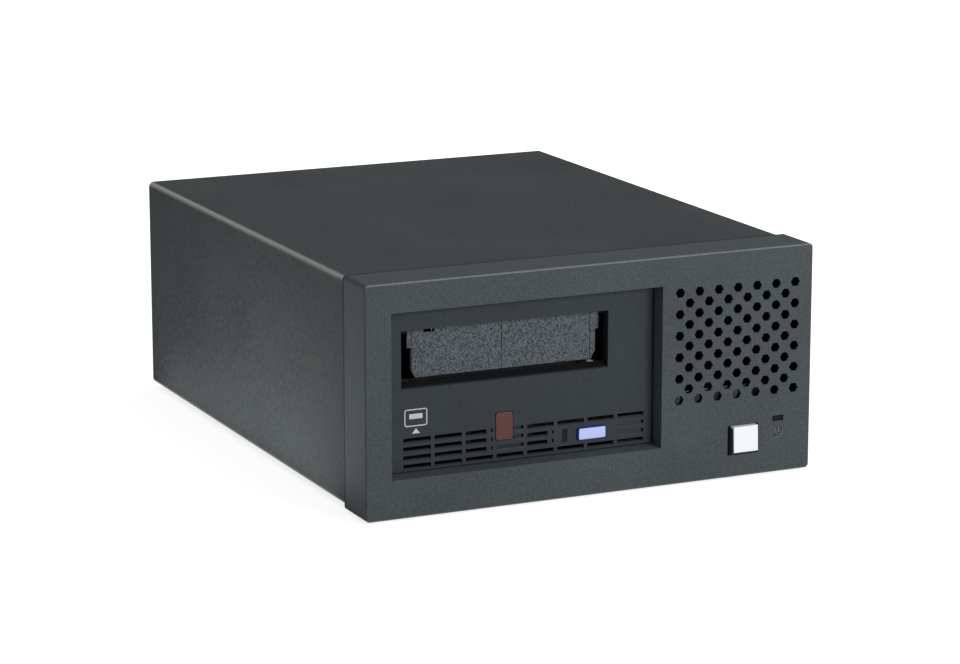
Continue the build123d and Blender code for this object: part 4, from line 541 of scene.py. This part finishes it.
# The steelwork: pan, bulkhead, rear panel, drive brackets and the drive's two covers, cut from zinc-plated sheet.
# Hot-dip zinc sets in flat crystals a few millimetres wide, each with its own grey and its own gloss.
zinc_sheet, tree, shader, place = new_material("hot_dip_zinc_sheet")
crystals = add_node(tree, "ShaderNodeTexVoronoi", {"Vector": place, "Scale": metre / 5.0})
crystal = add_node(tree, "ShaderNodeRGBToBW", {"Color": crystals.outputs["Color"]})
bloom = add_node(tree, "ShaderNodeTexNoise", {"Vector": place, "Scale": metre / 1.2, "Detail": 3.0})
both = add_node(tree, "ShaderNodeMix", {"Factor": 0.45, "A": crystal.outputs[0], "B": bloom.outputs[0]})
rough = add_node(
    tree, "ShaderNodeMapRange",
    {"Value": both.outputs[0], "From Min": 0.2, "From Max": 0.8, "To Min": 0.34, "To Max": 0.5},
)
tones = two_tones(tree, both.outputs[0], "#94989b", "#bcc0c2", 0.2, 0.8)
dress(tree, shader, tones, rough.outputs[0], both.outputs[0], 0.01, {"Metallic": 1.0}, 0.6)
wear(
    zinc_sheet, "base_pan", "front_bulkhead", "rear_panel", "drive_bracket_left", "drive_bracket_right",
    "drive_top_cover", "drive_bottom_cover",
)


# The screws that show, under the case and on its back: pan heads with a cross recess, cold formed and zinc plated.
# The heads stand in for the plain ones of the frame, at the same places and sizes.
def cross_heads(name, heads, replaced):
    """Screw heads in one mesh. Each is a seat in mm, the way it faces, its radius and its height."""
    form = bmesh.new()
    spokes, rings = 48, 12
    turns = [2 * math.pi * spoke / spokes for spoke in range(spokes)]
    crown_drop, cross_half_width, cross_reach, cross_depth = 0.45, 0.15, 0.6, 0.55
    for seat, facing, radius, height in heads:
        seat, facing = Vector(seat) / metre, Vector(facing)
        side = facing.orthogonal().normalized()
        other = facing.cross(side)
        narrow, long = radius * cross_half_width, radius * cross_reach
        rows = []
        for ring in range(rings + 1):
            reach = radius * ring / rings
            row = []
            for turn in turns[:1] if ring == 0 else turns:
                a, b = reach * math.cos(turn), reach * math.sin(turn)
                crown = height * (1 - crown_drop * (reach / radius) ** 3)
                if (abs(a) < narrow and abs(b) < long) or (abs(b) < narrow and abs(a) < long):
                    crown -= height * cross_depth
                row.append(form.verts.new(seat + (side * a + other * b + facing * crown) / metre))
            rows.append(row)
        rows.append(
            [
                form.verts.new(seat + (side * math.cos(turn) + other * math.sin(turn)) * radius / metre)
                for turn in turns
            ]
        )
        for inner, outer in zip(rows, rows[1:]):
            for spoke in range(spokes):
                after = (spoke + 1) % spokes
                if len(inner) == 1:
                    form.faces.new((inner[0], outer[spoke], outer[after]))
                else:
                    form.faces.new((inner[spoke], outer[spoke], outer[after], inner[after]))
        form.faces.new(rows[-1][::-1])
    piece = new_piece(name, form, plated_steel)
    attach(piece, "case")
    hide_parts(replaced)


plated_steel = bare_metal("bright_plated_screw_steel", "#85888b", "#a2a5a8", 0.8, 0.34)
under, behind = (0, 0, -1), (0, 1, 0)
hem_z, foot_z = 2.7, 3.9
fan_x, fan_z, fan_half = 85.0, 77.9, 25
small_head, fan_head = (2.8, 1.3), (3.4, 1.6)
cross_heads(
    "case_screw_heads",
    [((side * 117.8, y, hem_z), under, *small_head) for side in (-1, 1) for y in (-108.2, 13.8, 137.8)]
    + [((side * 90.0, y, foot_z), under, *small_head) for side in (-1, 1) for y in (-117.2, 148.6)],
    "case_screws",
)
cross_heads(
    "rear_screw_heads",
    [
        ((fan_x + dx, 155.8, fan_z + dz), behind, *fan_head)
        for dx in (-fan_half, fan_half) for dz in (-fan_half, fan_half)
    ]
    + [((x, 158.4, 26.0), behind, *small_head) for x in (65.0, 105.0)],
    "rear_screws",
)
wear(plated_steel, "drive_screws", "case_screws", "rear_screws")

# The rubber feet: four moulded discs with a matt skin that picks up fine dust.
matt_rubber = moulded("matt_black_rubber", "#141517", "#232527", 0.7, 0.03, 0.85, 0.2)
wear(matt_rubber, "rubber_feet")

# The power switch, the mains inlet, the data sockets' tongues, the display module and the main board's connectors:
# blocks of black nylon filled with glass, which leaves them matt.
black_nylon = moulded("black_glass_filled_nylon", "#131416", "#202224", 0.7, 0.02, 0.48, 0.4)
wear(black_nylon, "power_switch", "ac_inlet", "socket_tongues", "display_module", "drive_connectors")

# The boards of the power supply and of the drive: glass laminate with copper tracks under green solder mask.
# The mask lies thicker between the tracks, so the tracks show as paler lines, with gold-coloured vias among them.
solder_mask, tree, shader, place = new_material("green_solder_mask")
tracks = add_node(
    tree, "ShaderNodeTexBrick",
    {
        "Vector": place, "Scale": 1.0, "Mortar Size": 0.0003, "Brick Width": 0.009, "Row Height": 0.0025,
        "Color1": colour("#1b4b2e"), "Color2": colour("#1f5434"), "Mortar": colour("#3f8a58"),
    },
)
vias = add_node(tree, "ShaderNodeTexVoronoi", {"Vector": place, "Scale": metre / 6.0})
rim = add_node(
    tree, "ShaderNodeMapRange",
    {"Value": vias.outputs["Distance"], "From Min": 0.09, "From Max": 0.12, "To Min": 1.0, "To Max": 0.0},
)
laid = add_node(
    tree, "ShaderNodeMixRGB", {"Fac": rim.outputs[0], "Color1": tracks.outputs[0], "Color2": colour("#b8a463")}
)
dress(tree, shader, laid.outputs[0], 0.3, tracks.outputs["Fac"], 0.04, {})
wear(solder_mask, "supply_board", "main_board")

# The two small boards behind the bezels: masked in black, so that nothing green shows through the vents.
# Black mask hides its tracks, and has the same low shine.
black_mask = moulded("black_solder_mask", "#0b0d0c", "#151816", 2.0, 0.004, 0.35, 0.3)
wear(black_mask, "power_light_board", "panel_board")

# The mains inlet's three blades: nickelled brass, a warm and rather soft shine.
nickelled_brass = bare_metal("nickelled_brass", "#a9a28c", "#c2bba4", 0.8, 0.28, (1, 0.25, 1))
wear(nickelled_brass, "inlet_blades")

# The data sockets: two cages folded from tinned steel, each round a contact tongue.
# Tin is softer and whiter than zinc, and keeps the lines of the press.
tinned_steel = bare_metal("tinned_cage_steel", "#a6a9ab", "#c3c6c8", 0.7, 0.32, (0.3, 1, 1))
wear(tinned_steel, "data_sockets")

# The fan: frame and rotor in black glass-filled polyester, whose fibres leave a slightly cloudy surface.
cloudy_polyester = moulded("cloudy_black_polyester", "#121315", "#232528", 1.6, 0.015, 0.5, 0.35)
wear(cloudy_polyester, "fan_frame", "fan_rotor")

# The power supply's open channel and heat sinks: mill-finish aluminium, with the mill's lines along their length.
mill_aluminium = bare_metal("mill_finish_aluminium", "#b3b6b8", "#cfd1d3", 1.1, 0.36, (1, 0.12, 1))
wear(mill_aluminium, "supply_channel", "supply_heat_sinks")

# The power supply's transformer: wound over with amber polyester tape, whose turns show as level bands.
amber_tape, tree, shader, place = new_material("amber_polyester_tape")
turns = add_node(
    tree, "ShaderNodeTexWave", {"Vector": place, "Scale": metre / 32.0, "Distortion": 0.6}, bands_direction="Z"
)
rough = add_node(tree, "ShaderNodeMapRange", {"Value": turns.outputs["Fac"], "To Min": 0.25, "To Max": 0.4})
tones = two_tones(tree, turns.outputs["Fac"], "#a87d22", "#cda03f", 0.1, 0.9)
dress(tree, shader, tones, rough.outputs[0], turns.outputs["Fac"], 0.1, {}, 0.6)
wear(amber_tape, "supply_transformer")

# The power supply's capacitors: aluminium cans in dark blue shrink sleeve, drawn tight and rather glossy.
shrink_sleeve = moulded("dark_blue_shrink_sleeve", "#1f2346", "#2b3058", 3.5, 0.006, 0.28, 0.5)
wear(shrink_sleeve, "supply_capacitors")

# The drive's chassis: pressure die-cast aluminium, left as cast.
# The melt chills against the die in cloudy patches, over a fine pitted grain.
cast_aluminium, tree, shader, place = new_material("pressure_die_cast_aluminium")
pits = add_node(tree, "ShaderNodeTexNoise", {"Vector": place, "Scale": metre / 1.5, "Detail": 4.0})
clouds = add_node(
    tree, "ShaderNodeTexNoise", {"Vector": place, "Scale": metre / 22.0, "Detail": 3.0, "Distortion": 0.8}
)
both = add_node(tree, "ShaderNodeMix", {"Factor": 0.5, "A": pits.outputs[0], "B": clouds.outputs[0]})
rough = add_node(
    tree, "ShaderNodeMapRange",
    {"Value": both.outputs[0], "From Min": 0.35, "From Max": 0.65, "To Min": 0.6, "To Max": 0.42},
)
tones = two_tones(tree, both.outputs[0], "#8d9092", "#b3b6b8")
dress(tree, shader, tones, rough.outputs[0], pits.outputs[0], 0.06, {"Metallic": 1.0})
wear(cast_aluminium, "drive_chassis")

# The loader: carriage and tray pressed from zinc-plated strip, coloured near-black as painted shade: the black stands
# in for the shadow inside the slot, so that the slot stays dark.
# The threader arm is left bright, and the rolling lines of both run front to back.
slot_shade_zinc = bare_metal("zinc_strip_painted_slot_shade", "#1d1e20", "#2c2e30", 0.9, 0.45, (1, 0.15, 1))
wear(slot_shade_zinc, "loader_carriage", "cartridge_tray")
bright_strip = bare_metal("bright_zinc_strip", "#9ea2a5", "#bec1c4", 0.9, 0.32, (1, 0.15, 1))
wear(bright_strip, "threader_arm")

# The loader's motor, the two spindle motors and the head's actuator: in steel cans with fine turning marks.
turned_steel = bare_metal("turned_motor_steel", "#6f7376", "#8f9396", 0.7, 0.38, (0.2, 0.2, 1))
wear(turned_steel, "loader_motor", "supply_motor", "take_up_motor", "head_actuator")

# The hub and the reel: grey acetal, a slippery plastic with a soft greasy shine.
grey_acetal = moulded("grey_acetal", "#7e8285", "#8d9194", 1.2, 0.006, 0.38, 0.45)
wear(grey_acetal, "supply_hub", "take_up_reel")

# The tape path: ground steel posts, and rollers and a head polished from dark ceramic.
ground_steel = bare_metal("ground_post_steel", "#8a8d90", "#a7aaad", 0.5, 0.26, (1, 1, 0.2))
wear(ground_steel, "deck_posts")
dark_ceramic = moulded("polished_dark_ceramic", "#2a2826", "#383532", 1.2, 0.001, 0.14, 0.6, 0.03)
wear(dark_ceramic, "tape_head", "guide_roller_1", "guide_roller_2", "guide_roller_3", "guide_roller_4")
